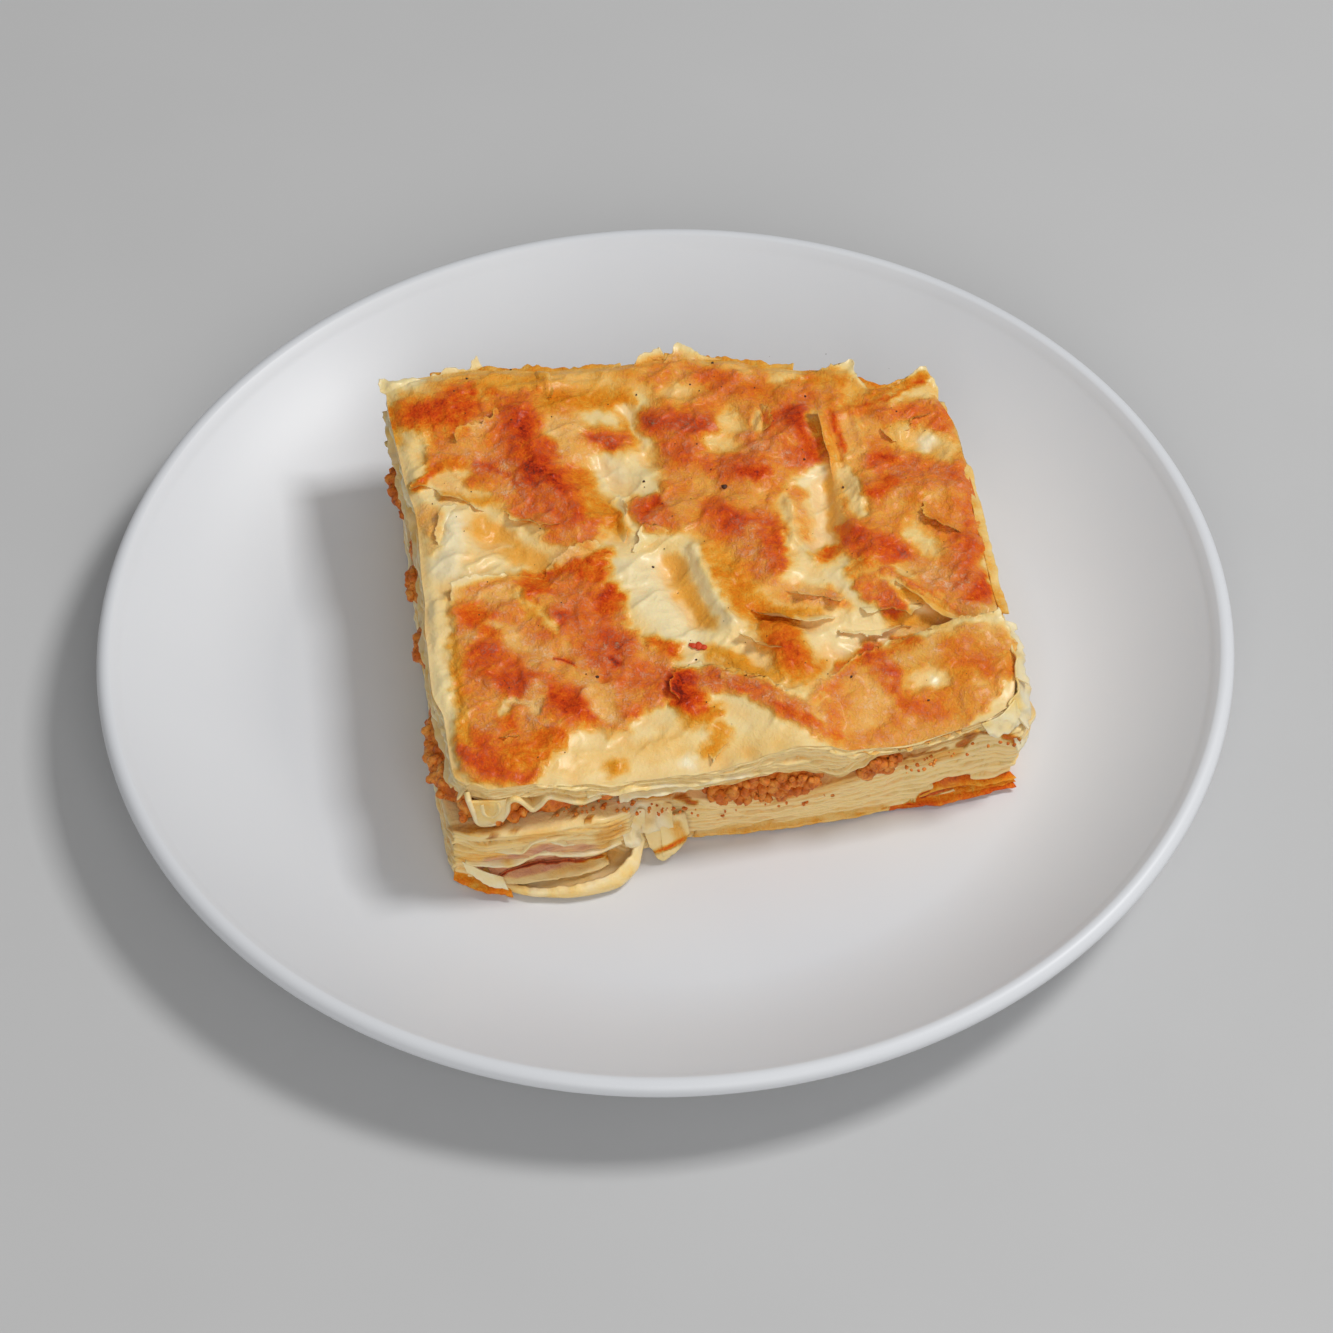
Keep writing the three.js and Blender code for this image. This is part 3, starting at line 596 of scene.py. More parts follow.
@dataclass(frozen=True)
class Browning:
    """How far the crust is browned at each place, painted patch over patch.

    The places are warped by noise of 3.4 and 1.3 mm first, so that every patch has a ragged edge.
    A row holds the points, radius, browning and soft width, then ochre and frost where there is any.
    Ochre along some valleys and under flakes is painted shade; frost is partly painted glints.
    """

    base: float = 0.1
    warp: float = 1.2
    ease: float = 1.15
    patches: tuple[Stroke, ...] = rows_of(
        Stroke,
        # back left
        (((-54, 51), (-44, 56), (-30, 57), (-18, 55), (0, 54), (0, 46), (-20, 46), (-34, 49)), 0, 0.3,
          4, 0.35, 0.2),
        (((-52, 41), (-51, 48)), 2.2, 0.38, 3, 0.7),
        (((-46, 39), (-47, 50), (-38, 53), (-26, 52), (-22, 46), (-22, 36), (-18, 24), (-19, 12),
          (-28, 9), (-33, 17), (-37, 22), (-41, 31), (-48, 33)), 0, 0.53, 4, 0.2, 0.3),
        (((-47, 46), (-41, 47)), 5.5, 0.64, 5), (((-46, 47), (-42, 44)), 2, 0.72, 5),
        (((-40, 51), (-33, 50)), 1.8, 0.56, 3), (((-34, 53), (-24, 52)), 1.6, 0.34, 3, 0.6),
        (((-37, 41), (-32, 43)), 1.8, 0.4, 2.4, 0, 0.8),
        (((-46, 35), (-40, 37)), 2.6, 0.46, 2.6, 0, 0.6), (((-47, 32), (-42, 33)), 1.6, 0.56, 2.4, 0.3),
        (((-28, 45), (-28, 36), (-27, 28), (-24, 22)), 4.8, 0.68, 5, 0, 0.15),
        (((-39, 35), (-33, 36), (-31, 25), (-34, 21), (-38, 25)), 0, 0.6, 3, 0, 0.85),
        (((-39, 32), (-33, 28), (-31, 24)), 0.7, 0.82, 1.6, 0, 0.3),
        (((-28, 42), (-28, 32)), 1.8, 0.8, 4), (((-27, 29), (-24, 25)), 2.4, 0.93, 4),
        (((-29, 20), (-22, 12)), 5, 0.62, 3, 0, 0.45), (((-20, 16), (-18, 18)), 2, 0.8, 3),
        (((-17, 17), (-13, 12)), 3, 0.46, 3, 0.55), (((-20, 42), (-19, 32)), 3.3, 0.34, 3, 0, 0.6),
        (((-21, 46), (-8, 44)), 2.8, 0.46, 3, 0.65), (((-8, 42), (-7, 32)), 1.4, 0.44, 3, 0.5),
        (((-14, 35), (-11, 33)), 2.8, 0.74, 3.5, 0, 0.3), (((-20, 26), (-18, 22)), 1.8, 0.52, 3, 0.4),
        (((-14, 27), (-12, 23)), 2.8, 0.05, 3), (((-6, 27), (-9, 18)), 2.8, 0.09, 3),
        (((-7.5, 42), (-4, 30)), 1.6, 0.06, 2), (((-51, 42), (-49, 31)), 1.8, 0.12, 3, 0.3),
        (((-53, 58), (-48, 56)), 2, 0.08, 3), (((-51, 28), (-48, 31)), 1.4, 0.56, 1.6),
        (((-46, 29), (-42, 27)), 2.2, 0.22, 1.6, 0, 0.8),
        (((-40, 27), (-37, 27)), 2.2, 0.5, 2, 0.2, 0.3), (((-46, 25), (-38, 22)), 1, 0.36, 1.4, 0.6),
        # The second stroke is a whitish ridge: painted highlight.
        (((-50, 20), (-48, 12)), 2.6, 0.32, 3, 0, 0.6), (((-45, 18), (-48, 6)), 2.6, 0.02, 3),
        # Full ochre along this valley: painted shade.
        (((-40, 16), (-34, 8), (-30, 5)), 2.4, 0.2, 3, 1.0),
        (((-36, 17), (-30, 13)), 1.6, 0.14, 2.4, 0.3), (((-43, 8), (-36, 10)), 1.2, 0.1, 2, 0.4),
        (((-24, 6),), 2.6, 0.36, 3, 0, 0.9), (((-29, 1), (-22, 2), (-18, 5)), 2, 0.66, 2.6),
        (((-8, 13.5), (-2, 13)), 4.4, 0.66, 3, 0, 0.5), (((-9, 13), (-6, 16)), 1.4, 0.76, 2.4),
        (((-1, 18), (0, 25)), 2.8, 0.6, 3, 0, 0.5), (((-12, 18), (-12, 12), (-9, 7)), 1.1, 0.1, 2),
        (((-8, 5), (0, 4)), 2, 0.12, 3, 0.2),
        # back right
        (((-3, 16), (-4, 28), (-3, 40), (0, 53), (14, 53), (24, 47), (36, 46), (39, 40), (53, 39),
          (57, 26), (57, 0), (55, -21), (46, -21), (38, -8), (30, -7), (27, 6), (26, 20), (18, 14),
          (16, 2), (13, -10), (8, -6), (4, 4), (-2, 9)), 0, 0.48, 4, 0.25, 0.35),
        (((-2, 37), (6, 35)), 3.3, 0.78, 4, 0, 0.3),
        (((0, 31), (4, 25), (9, 22), (14, 23)), 2.8, 0.62, 3, 0, 0.45),
        (((6, 12), (10, 8)), 3.3, 0.8, 3.5, 0, 0.2), (((12, 6),), 2, 0.58, 3, 0, 0.95),
        (((15, 6), (14, -3)), 2.9, 0.78, 3.5, 0, 0.2),
        (((18, 26), (20, 36), (29, 38), (29, 20), (22, 21)), 0, 0.66, 3, 0, 0.4),
        (((26, 35), (27, 24)), 1.7, 0.78, 3), (((14, 30), (19, 25)), 2.8, 0.58, 3, 0, 0.75),
        (((12, 21), (16, 20)), 1.8, 0.7, 2.4), (((12, 36), (13, 33)), 2.2, 0.16, 3),
        (((8, 30), (11, 29)), 2.2, 0.18, 3), (((18, 36), (18, 32)), 1.2, 0.2, 1.6, 0, 0.5),
        (((2, 45), (6, 44)), 2.2, 0.2, 3, 0.2, 0.3), (((10, 50), (18, 48)), 1.8, 0.25, 3, 0.2, 0.3),
        (((4, 53), (8, 50)), 2.4, 0.42, 3, 0, 0.7), (((14, 44), (20, 42)), 1.8, 0.55, 2.4, 0.3),
        (((30, 43), (36, 42)), 1.8, 0.5, 3, 0.4), (((24, 45), (28, 46)), 1.6, 0.2, 2.4),
        (((38, 39), (36, 36)), 2, 0.3, 3, 0.2), (((36, 30), (35, 22)), 2.6, 0.32, 3, 0.1, 0.5),
        # The first stroke darkens the crack right of the curled strip: painted shade.
        (((32.6, 34), (33.4, 23)), 0.5, 0.66, 1), (((29, 34), (31, 21)), 1.3, 0.36, 1.2, 0.45),
        # The first stroke, a thin ochre line down the hollow, is painted shade.
        (((27.6, 12), (26.4, 3)), 0.5, 0.2, 1.2, 0.9), (((44, 32), (54, 31)), 2.4, 0.64, 3, 0, 0.3),
        (((46, 37), (52, 36.5)), 1.8, 0.14, 2, 0.2),
        (((41, 37), (47, 39.5), (53, 41)), 0.9, 0.52, 1.4, 0.5),
        (((46, 25), (52, 21)), 3.4, 0.2, 3, 0.4), (((49, 23),), 2.6, 0.02, 3),
        (((40, 18), (48, 15), (54, 12)), 3.2, 0.66, 4, 0, 0.45), (((40, 14), (36, 11)), 1.9, 0.76, 3),
        (((40, 21), (42, 19)), 1.8, 0.7, 3), (((44, 6), (50, 6)), 3.2, 0.46, 3, 0.4, 0.3),
        (((42, 0), (44, -4)), 2.3, 0.16, 3), (((54, 8), (53, -4)), 1.8, 0.62, 3, 0, 0.4),
        (((50, -4), (52, -17)), 2.6, 0.62, 3, 0, 0.4), (((30, 1), (37, -4)), 3.4, 0.76, 3.5, 0, 0.15),
        (((27, 18), (24, 2)), 3.2, 0.05, 2), (((32, 18), (33, 8)), 2.2, 0.12, 2, 0.3),
        # Full ochre along this hollow: painted shade.
        (((29.5, 19), (28, 10), (27, 4)), 0.9, 0.2, 2, 1.0),
        (((22, 14), (21, 3)), 1.5, 0.5, 2.4, 0, 0.6), (((26, -2), (23, -3)), 1.8, 0.56, 2.4),
        (((3, 1), (8, -12)), 3, 0.48, 4, 0.6), (((9, 3), (14, -11)), 1.8, 0.46, 3, 0, 0.6),
        (((-1, 3), (0, -7), (3, -16)), 1.5, 0.07, 3),
        (((-18, 3), (-7, 4), (-4, -4), (-2, -14), (-4, -22), (-9, -20), (-13, -12), (-15, -2)), 0, 0.05,
          2.5),
        # Full ochre along this valley: painted shade.
        (((-5, 1), (-4, -8), (-1, -15)), 1.7, 0.2, 3, 1.0),
        # front left
        (PLATE_OUTLINE, 0, 0.49, 2.6, 0.15, 0.5), (((-46, -3), (-37, -2)), 2.4, 0.34, 3, 0, 0.85),
        (((-45, -5), (-41, -12)), 3, 0.68, 3), (((-33, -1), (-20, 1)), 3.2, 0.7, 3),
        (((-26, -2), (-22, -8)), 3.2, 0.64, 3, 0, 0.5), (((-20, -9), (-18, -6)), 2.8, 0.78, 3),
        (((-28, -11), (-20, -18)), 4.4, 0.7, 3.5, 0, 0.45),
        (((-36, -2), (-30, -11)), 1.2, 0.22, 2.2, 0.2), (((-34, -8),), 1.2, 0.34, 2, 0.8),
        (((-46, -13), (-43, -16)), 2, 0.42, 3, 0, 1.0), (((-44, -17), (-38, -25)), 4, 0.76, 4, 0, 0.15),
        (((-36, -14), (-32, -18)), 3, 0.42, 4, 0, 0.95), (((-34, -28), (-28, -32)), 4, 0.84, 5),
        (((-38, -33), (-36, -26)), 1.8, 0.44, 3, 0, 1.0), (((-42, -31), (-41, -34)), 1.8, 0.58, 3),
        (((-22, -24), (-12, -28)), 4, 0.66, 3.5, 0, 0.55), (((-20, -22),), 0.8, 0.96, 2),
        (((-26, -25), (-24, -32)), 2.2, 0.4, 3, 0, 0.9),
        (((-22, -36), (-18, -34)), 1.4, 0.56, 2.4, 0, 0.4), (((-12, -19), (-9, -21)), 1.8, 0.6, 2.4),
        (((-48.5, -38), (-42, -43)), 4.6, 0.7, 3, 0, 0.15),
        (((-41, -42), (-35, -38)), 3.2, 0.62, 2.6, 0.2),
        (((-49.5, -12), (-50.5, -36)), 1.2, 0.44, 2.2, 0.6), (((-53.5, 0), (-54.5, -40)), 1.8, 0.08, 2),
        (((-41, -9), (-37, -13)), 1.5, 0.34, 2.4, 0, 0.9),
        (((-42.6, -31), (-41.6, -28.4), (-38.4, -28), (-36, -31)), 0.7, 0.16, 1.4, 0, 0.8),
        (((-25.5, -32.5), (-21.5, -36.5)), 1.3, 0.36, 2.2, 0, 0.9),
        (((-31, -19), (-27, -21.5)), 0.35, 0.95, 0.8),
        (((-34, -45), (-20, -44), (-6, -46), (8, -46)), 2.6, 0.13, 4, 0.34),
        (((-24, -47),), 1.9, 0.4, 3, 0.9), (((-4, -42), (-6, -46)), 2, 0.44, 2.4, 0.7),
        (((-18, -43), (-12, -41)), 1.6, 0.16, 3, 0.5), (((-11, -48),), 1.6, 0.0, 2.4),
        (((-9, -38), (-4, -37)), 1.6, 0.44, 2.4, 0.7), (((-8, -29), (-8, -34)), 3.2, 0.78, 2.6),
        (((-10, -30), (-9, -33)), 1.1, 0.92, 2.4),
        (((-3, -29), (4, -32), (10, -38), (16, -44)), 2.8, 0.62, 2.4, 0, 0.7),
        (((8, -38), (16, -44)), 1, 0.7, 2), (((-1, -23), (5, -28), (10, -30)), 1.8, 0.34, 2.6, 0.9),
        (((4, -20), (8, -26)), 2.2, 0.12, 2.4, 0, 0.2),
        # front right
        (((11, -18), (14, -30)), 3.6, 0.58, 4, 0.4), (((12, -22), (13, -27)), 2, 0.7, 4),
        (((14, -10), (24, -14)), 2.4, 0.4, 3, 0, 0.7), (((11, -15), (20, -16)), 1.2, 0.34, 2, 0.8),
        # The second stroke, full ochre in the hollow, is painted shade.
        (((20, -24), (31, -26)), 3.4, 0.09, 3), (((34, -21), (43, -22)), 1.9, 0.26, 3, 1.0),
        (((31, -11), (34, -17)), 3.2, 0.64, 2.4, 0, 0.4),
        (((34, -8), (41, -14.6), (47, -21)), 0.9, 0.62, 1.6, 0, 0.5),
        (((28, -8), (32, -5)), 1.6, 0.5, 2), (((25, -8), (27, -13)), 1.6, 0.08, 2),
        # The first stroke is a painted shadow below the ragged sheet's rim.
        (((37, -14), (44, -20)), 0.9, 0.3, 1.8, 1.0), (((42, -10), (49, -18)), 2.8, 0.55, 3, 0, 0.95),
        (((50, -18), (53, -14)), 1.6, 0.7, 2.4), (((8, 49), (14, 45.5)), 2.8, 0.55, 3, 0.1, 0.3),
        (((15, 43), (18, 41)), 1.6, 0.56, 2.4, 0.2, 0.3), (((40, 34.5), (52.5, 39.6)), 0.7, 0.6, 1.4),
        (((46, 31), (54, 27.5)), 2, 0.68, 2.6, 0, 0.2), (((54.6, -8), (54, -24)), 1.2, 0.1, 1.6),
        (FLAP_OUTLINE, 0, 0.39, 1.6, 0.2, 0.6), (((22, -30), (36, -26.5)), 1.4, 0.52, 2.4),
        (((28, -28), (30, -33), (31, -39)), 1.9, 0.82, 2.8, 0, 0.3),
        (((16, -36), (22, -32)), 1.6, 0.56, 2.6, 0, 0.6),
        (((33, -32), (43, -29), (49, -34), (44, -41), (36, -43), (32, -38)), 0, 0.46, 3, 0.45, 0.15),
        (((36, -36), (39, -36)), 2.6, 0.16, 2.6, 0.1, 0.3), (((38.5, -36.5),), 1.2, 0.02, 1.6),
        (((45, -29), (50, -35)), 3.6, 0.6, 4, 0.2, 0.2),
        (((32, -41), (37, -44)), 2.8, 0.62, 4, 0.1, 0.2),
        (((41, -44), (45, -41)), 1.6, 0.46, 3, 0.3, 0.2),
        (((18, -41), (17, -47)), 1.6, 0.56, 2.4, 0, 0.4))

    def paint(self, u: Array, v: Array, z: Array) -> dict[str, Array]:
        """Browning, ochre and frost at points of the crust.

        Args:
            u: places across.
            v: places back.
            z: heights.

        Returns:
            The painted values by name.
        """
        ru, rv = laid_out(u, v, z)
        return blend_patches(ru, rv, self.patches, (self.base, 0.1, 0.0, 0.0, 0.0), self.warp, self.ease)


def blend_patches(a: Array, b: Array, patches: tuple[Stroke, ...], base: tuple[float, ...],
                  warp: float, ease: float = 1.0) -> dict[str, Array]:
    """Paints patch over patch at places warped by noise of 3.4 and 1.3 mm.

    Args:
        a: first coordinates of the places.
        b: second coordinates.
        patches: what is painted, in order.
        base: browning, ochre, frost, stain and blush below them all.
        warp: how far the noise moves a place.
        ease: factor on the patches' soft widths.

    Returns:
        The painted values by name.
    """
    flat = np.stack([a, b], -1)
    wa = a + warp * (0.6 * noise(flat, 3.4, 11, 2) + 0.4 * noise(flat, 1.3, 12))
    wb = b + warp * (0.6 * noise(flat, 3.4, 21, 2) + 0.4 * noise(flat, 1.3, 22))
    values = np.array(base)[:, None] + np.zeros(a.shape)
    for patch in patches:
        target = np.array([patch.value, patch.ochre, patch.frost_and_glint, patch.stain, patch.blush])[:, None]
        values = mix(values, target, patch.cover(wa, wb, ease))
    brown, ochre, frost_and_glint, stain, blush = values
    brown = brown + (0.18 * noise(flat, 4.8, 31, 4) - 0.01) * smooth((brown - 0.1) / 0.3)
    frost_and_glint = frost_and_glint * (0.75 + 0.6 * noise(flat, 2.2, 41, 2))
    stain = stain * (0.9 + 0.5 * noise(flat, 1.1, 42, 2))
    blush = blush * (0.9 + 0.4 * noise(flat, 2.0, 43, 2))
    return {"browning": np.clip(brown, 0, 1.05), "ochre": ochre, "frost_and_glint": np.clip(frost_and_glint, 0, 1),
            "stain": np.clip(stain, 0, 1), "blush": np.clip(blush, 0, 1)}


def plain_paint(brown: Array, ochre: Array | float) -> dict[str, Array]:
    """Painted values of a surface that is only browned and yellowed."""
    none = 0 * brown
    return {"browning": brown, "ochre": none + ochre, "frost_and_glint": none, "stain": none, "blush": none}


@dataclass(frozen=True)
class FrontMarks:
    """Marks of the front cut, laid out as across and up on its upright plane.

    A row holds the points, radius, browning and soft width, then ochre, frost, stain and blush.
    """

    base: tuple[float, ...] = (0.1, 0.14, 0.0, 0.0, 0.0)
    warp: float = 0.7
    patches: tuple[Stroke, ...] = rows_of(
        Stroke,
        (((-56, 15), (-30, 16), (-24, 17)), 0.9, 0.14, 2.4, 0.4),
        # Meat-brown along the seam: partly the meat's own brown, partly painted shade.
        (((-55, 22.5), (-52, 21), (-48, 20.6), (-45, 22)), 1.0, 0.3, 1.6, 0.2, 0, 0.7),
        (((-46, 21.2), (-41, 24.4)), 0.3, 0.2, 0.8, 0, 0, 0.4),
        (((-33, 22), (-32.4, 20)), 0.5, 0.3, 0.7, 0, 0, 0.8), (((-30, 19),), 0.6, 0.4, 0.6, 0, 0, 0.8),
        (((-36, 22), (-35, 21)), 0.3, 0.3, 0.6, 0, 0, 0.7), (((-24, 24), (-20, 20)), 1.8, 0.0, 2),
        (((-20, 24.5), (-15.5, 24)), 1.5, 0.5, 1.4, 0, 0, 0.55),
        (((-13, 21.5), (-10, 19)), 0.7, 0.5, 1, 0, 0, 0.6),
        # Painted shade below the meat: ochre with a trace of stain.
        (((6, 16.6), (20, 19.4)), 1.3, 0.16, 2.4, 0.6, 0, 0.15),
        (((-49, 17.5), (-43, 18.7)), 0.22, 0.3, 0.5, 0, 0, 0.8),
        # The first stroke is painted shade under the wavy fold.
        (((-42, 16), (-37, 16.6)), 1.0, 0.14, 1.6, 0.8), (((-54, 12.6), (-47, 12)), 1.2, 0.2, 2, 0.55),
        (((-53, 11), (-46, 11.6), (-42, 12.8), (-39, 13.4), (-30, 11.4), (-26, 10), (-27, 7.5),
          (-34, 5.6), (-44, 4), (-50, 7)), 0, 0.18, 1.2, 0.1, 0.2, 0.1, 0.75),
        (((-46.5, 6.3), (-44, 7.3), (-40, 7.9), (-35, 7.6), (-31, 6.5), (-27, 7.2)), 0.45, 1.0, 0.7, 0,
          0, 0.45),
        (((-37, 4), (-30, 5.6)), 1.2, 0.12, 2.0, 0.45),
        (((-27, 13), (-25, 15)), 2, 0.2, 1.6, 0.6, 0, 0.2), (((-27, 9), (-24, 5)), 1.6, 0.2, 2, 0.8),
        (((-26, 6.5),), 0.7, 0.6, 1, 0.3), (((-14, 13), (-12.4, 9)), 1.2, 0.22, 1.6, 0.6),
        (((-17, 6.2), (-12, 8.4)), 0.7, 0.66, 1.4, 0.1),
        (((-6, 9.6), (5, 8.2), (28, 8.4)), 0.7, 0.22, 1.6, 0.7),
        (((14.6, 7), (18, 7)), 0.6, 0.42, 1, 0.4, 0, 0.4),
        (((27, 8), (36, 9.2), (52, 8.8)), 0.9, 0.74, 0.9),
        (((34, 10.8), (38, 12.4), (43, 13)), 0.9, 0.85, 0.8, 0, 0, 0.3),
        # The first stroke is painted shade below the brown line.
        (((30, 22), (40, 22.6)), 1.4, 0.16, 2, 0.7), (((30, 23.2), (38, 24)), 0.3, 0.4, 0.6, 0, 0, 0.9),
        (((41, 25), (43, 26.6)), 0.9, 0.4, 0.8, 0, 0, 0.8),
        (((41, 27), (48, 27)), 0.35, 0.4, 0.7, 0, 0, 0.8),
        (((49.3, 25.5), (51.5, 23.4)), 0.8, 0.6, 0.8, 0, 0, 0.4))

    def paint(self, u: Array, v: Array, z: Array) -> dict[str, Array]:
        """The painted values at points of the front cut."""
        return blend_patches(*laid_out(u, v, z, front=True), self.patches, self.base, self.warp)


# ---- the slice's layers

@dataclass(frozen=True)
class Outline:
    """Plan edges of a layer, each a line of (along, across) knots."""

    left: Knots
    right: Knots
    front: Knots
    back: Knots

    def point(self, s: Array, t: Array) -> tuple[Array, Array]:
        """Plan place at s across and t back, both from 0 to 1: the four edges blended.

        Args:
            s: share from the left edge to the right edge.
            t: share from the front edge to the back edge.

        Returns:
            The place across and the place back.
        """
        u = mix(along(self.left, mix(-47, 56, t)), along(self.right, mix(-45, 40, t)), s)
        v = mix(along(self.front, mix(-55, 53, s)), along(self.back, mix(-54, 54, s)), t)
        corner = 1 - 0.02 * np.abs(2 * s - 1) ** 9 * np.abs(2 * t - 1) ** 9
        return u * corner, v * corner

    def share(self, u: Array, v: Array) -> tuple[Array, Array]:
        """The s and t of a plan place, kept from 0 to 1."""
        left, right = along(self.left, v), along(self.right, v)
        front, back = along(self.front, u), along(self.back, u)
        return np.clip((u - left) / (right - left), 0, 1), np.clip((v - front) / (back - front), 0, 1)


LOWER_OUTLINE = Outline(
    left=((-48, -56.4), (-30, -56.3), (-10, -54.8), (10, -54.2), (30, -53.5), (55, -52.5)),
    right=((-45, 53.2), (-37, 55.2), (-25, 54.4), (0, 54.4), (20, 55.2), (39, 53.8)),
    front=((-56, -48.4), (-50, -50), (-40, -50.8), (-28, -50.8), (-22, -49.4), (-19, -46.4), (-10, -45),
           (10, -45.8), (20, -45.8), (53, -45)),
    back=((-53, 55), (-20, 53), (10, 52), (24, 47.2), (38, 43), (54, 38.8)))
UPPER_OUTLINE = Outline(
    left=((-47, -53), (-44, -54.4), (-30, -53.8), (-24, -55), (-10, -54.3), (0, -53.2), (20, -52),
          (30, -53), (56, -54)),
    right=((-45, 53), (-30, 55), (-17, 54.4), (-4, 55.2), (9, 56.2), (27, 56.2), (40, 54.4)),
    front=((-54, -46.4), (-50, -48), (-30, -48.3), (-20, -48.3), (0, -47.8), (15, -47.5), (30, -47.6),
           (45, -46.4), (53, -44)),
    back=((-54, 58), (-45, 58), (-36, 58), (-30, 57), (-20, 55), (-5, 54.2), (6, 54.6), (15, 52),
          (23, 48.6), (30, 46.8), (38, 45), (42, 40), (54, 39.4)))


@dataclass(frozen=True)
class Fold:
    """A ridge (rise above 0) or hollow (rise below 0) along a line in plan."""

    points: Knots
    width: float
    rise: float

    def bell(self, u: Array, v: Array) -> Array:
        """Height added at plan places: a bell across the line."""
        return self.rise * np.exp(-(from_polyline(u, v, self.points) / self.width) ** 2)


@dataclass(frozen=True)
class CrustShape:
    """Heights of the slice: the crust with its folds, and the faces along the meat."""

    width: float = 108.0
    length: float = 96.0
    edge_drop: float = 1.0
    edge_reach: float = 2.4
    base_height: float = 5.3
    seam_low: float = 19.5
    seam_high: float = 24.0
    lower_front: Knots = (
        (-57, 21), (-40, 21.5), (-30, 22), (-24, 21), (-18, 19), (-12, 17), (-5, 15.3), (5, 14.8),
        (14, 15.2), (20, 16.5), (26, 18), (32, 20), (40, 22.2), (46, 23.6), (54, 23.6))
    upper_front: Knots = (
        (-55, 27.4), (-36, 28), (-31, 25), (-27, 25.6), (-22, 26.3), (-15, 26), (-10, 24.3), (-5, 23.4),
        (5, 24.3), (10, 23.6), (14, 21.8), (18, 19.6), (22, 21.8), (25, 24.4), (35, 24.6), (40, 25.4),
        (45, 26.4), (54, 26.4))
    front_edge: Knots = (
        (-54, 30.6), (-50, 31.5), (-40, 31.7), (-36, 31), (-31, 29.8), (-25, 28.6), (-15, 28.3),
        (-5, 27.6), (0, 28.6), (5, 30), (10, 30.8), (15, 29.6), (20, 27.2), (30, 26.4), (40, 27.4),
        (46, 28.4), (54, 28))
    front_reach: Knots = (
        (-54, 4), (-38, 5), (-28, 10), (-5, 9), (5, 6), (12, 8), (20, 18), (46, 18), (54, 10))
    folds: tuple[Fold, ...] = rows_of(
        Fold,
        (((-38, 13), (-30, 3)), 4, -2.4), (((-45, 18), (-47, 5)), 3.5, 1.2),
        (((-43, 47), (-40, 42)), 7, 1.4), (((-29, 42), (-21, 14)), 4.8, 1.9),
        (((-15, 27), (-9, 16)), 3.6, -2.2), (((-7, 41), (-5, 28)), 3, -1.7),
        (((-20, 42), (-19, 31)), 3, 1), (((-8, 13), (-2, 11)), 4.6, 1.5), (((0, 36), (6, 33)), 5, 1.2),
        (((13, 38), (13, 34)), 2.8, -1.2), (((8, 29), (11, 26)), 3.2, -1.2),
        (((14, 22), (27, 30)), 5, 1.8), (((8, 12), (15, -5)), 4.2, 1.8), (((28, 17), (25, 1)), 3.4, -3),
        (((33, 1), (34, -4)), 4.6, 1.6), (((47, 24), (49, 21)), 4.4, -1.6),
        (((44, 32), (51, 30)), 4, 1), (((38, 12), (50, 8)), 5, 1.5),
        (((-15, -2), (-10, -14)), 5.5, 0.8), (((-6, -1), (-3, -14)), 2.8, -2.6),
        (((0, 2), (3, -17)), 2.6, 1.4), (((9, -15), (17, -18)), 2.6, -1.6),
        (((12, -21), (14, -28)), 4.4, 2), (((21, -27), (42, -22)), 4.2, -3),
        (((32, -9), (45, -18)), 3.6, 1.4), (((-8, -29), (-8, -35)), 3.6, 1.4),
        (((-2, -31), (15, -42)), 3, 1.4), (((-26, -41), (-12, -40)), 4.6, -0.8),
        (((-34, -27), (-31, -31)), 5.4, 0.8), (((50, -4), (49, -18)), 4, 0.8))
    creases: tuple[Fold, ...] = rows_of(
        Fold,
        (((-41, 38), (-36, 37), (-33, 40)), 0.8, 0.7), (((-22, 47), (-21, 54)), 0.7, 0.5),
        (((-44, 5), (-38, 9)), 0.8, 0.6), (((-12, 18), (-13, 10), (-10, 6)), 0.8, 0.7),
        (((-24, 5), (-20, 3)), 0.9, 0.6), (((-36, -2), (-31, -12)), 0.9, 0.4),
        (((-31, -18), (-27, -22), (-25, -24)), 0.5, -0.7), (((-1, 3), (1, -10), (4, -18)), 0.9, 0.6),
        (((0, -27.5), (12, -36)), 0.8, 0.7), (((17, 31), (18.5, 34), (18, 38)), 0.8, 0.8),
        (((31.9, 34), (32, 20)), 0.6, -1.0), (((-39, 33), (-33, 28)), 0.5, -0.5),
        (((-33, 14), (-28, 15)), 0.9, 0.6), (((20, 12), (19, 2), (22, -3)), 1.1, 0.8),
        (((30, 18), (29, 8), (31, 2)), 1.0, 0.8), (((34, 12), (33, 6)), 0.8, 0.5),
        (((-16, 30), (-14, 22), (-10, 18)), 0.9, 0.5), (((45, 27), (44, 21), (48, 18)), 0.9, 0.6),
        (((-48, 44), (-47, 34)), 0.9, 0.5), (((-30, 51), (-14, 50)), 0.9, 0.5),
        (((0, 42), (8, 41), (14, 44)), 0.8, 0.5), (((37, 34), (37, 24)), 0.8, 0.6),
        (((22, -24), (32, -27), (40, -26)), 0.9, 0.5), (((24, -21), (36, -23)), 0.8, -0.5),
        (((-30, -42), (-18, -43), (-6, -41)), 1.0, 0.5), (((-20, -46), (-4, -45.5)), 0.8, 0.4))

    def level(self, u: Array, v: Array) -> Array:
        """The crust's middle plane."""
        return CRUST_HEIGHT + CRUST_SLOPE[0] * u + CRUST_SLOPE[1] * v

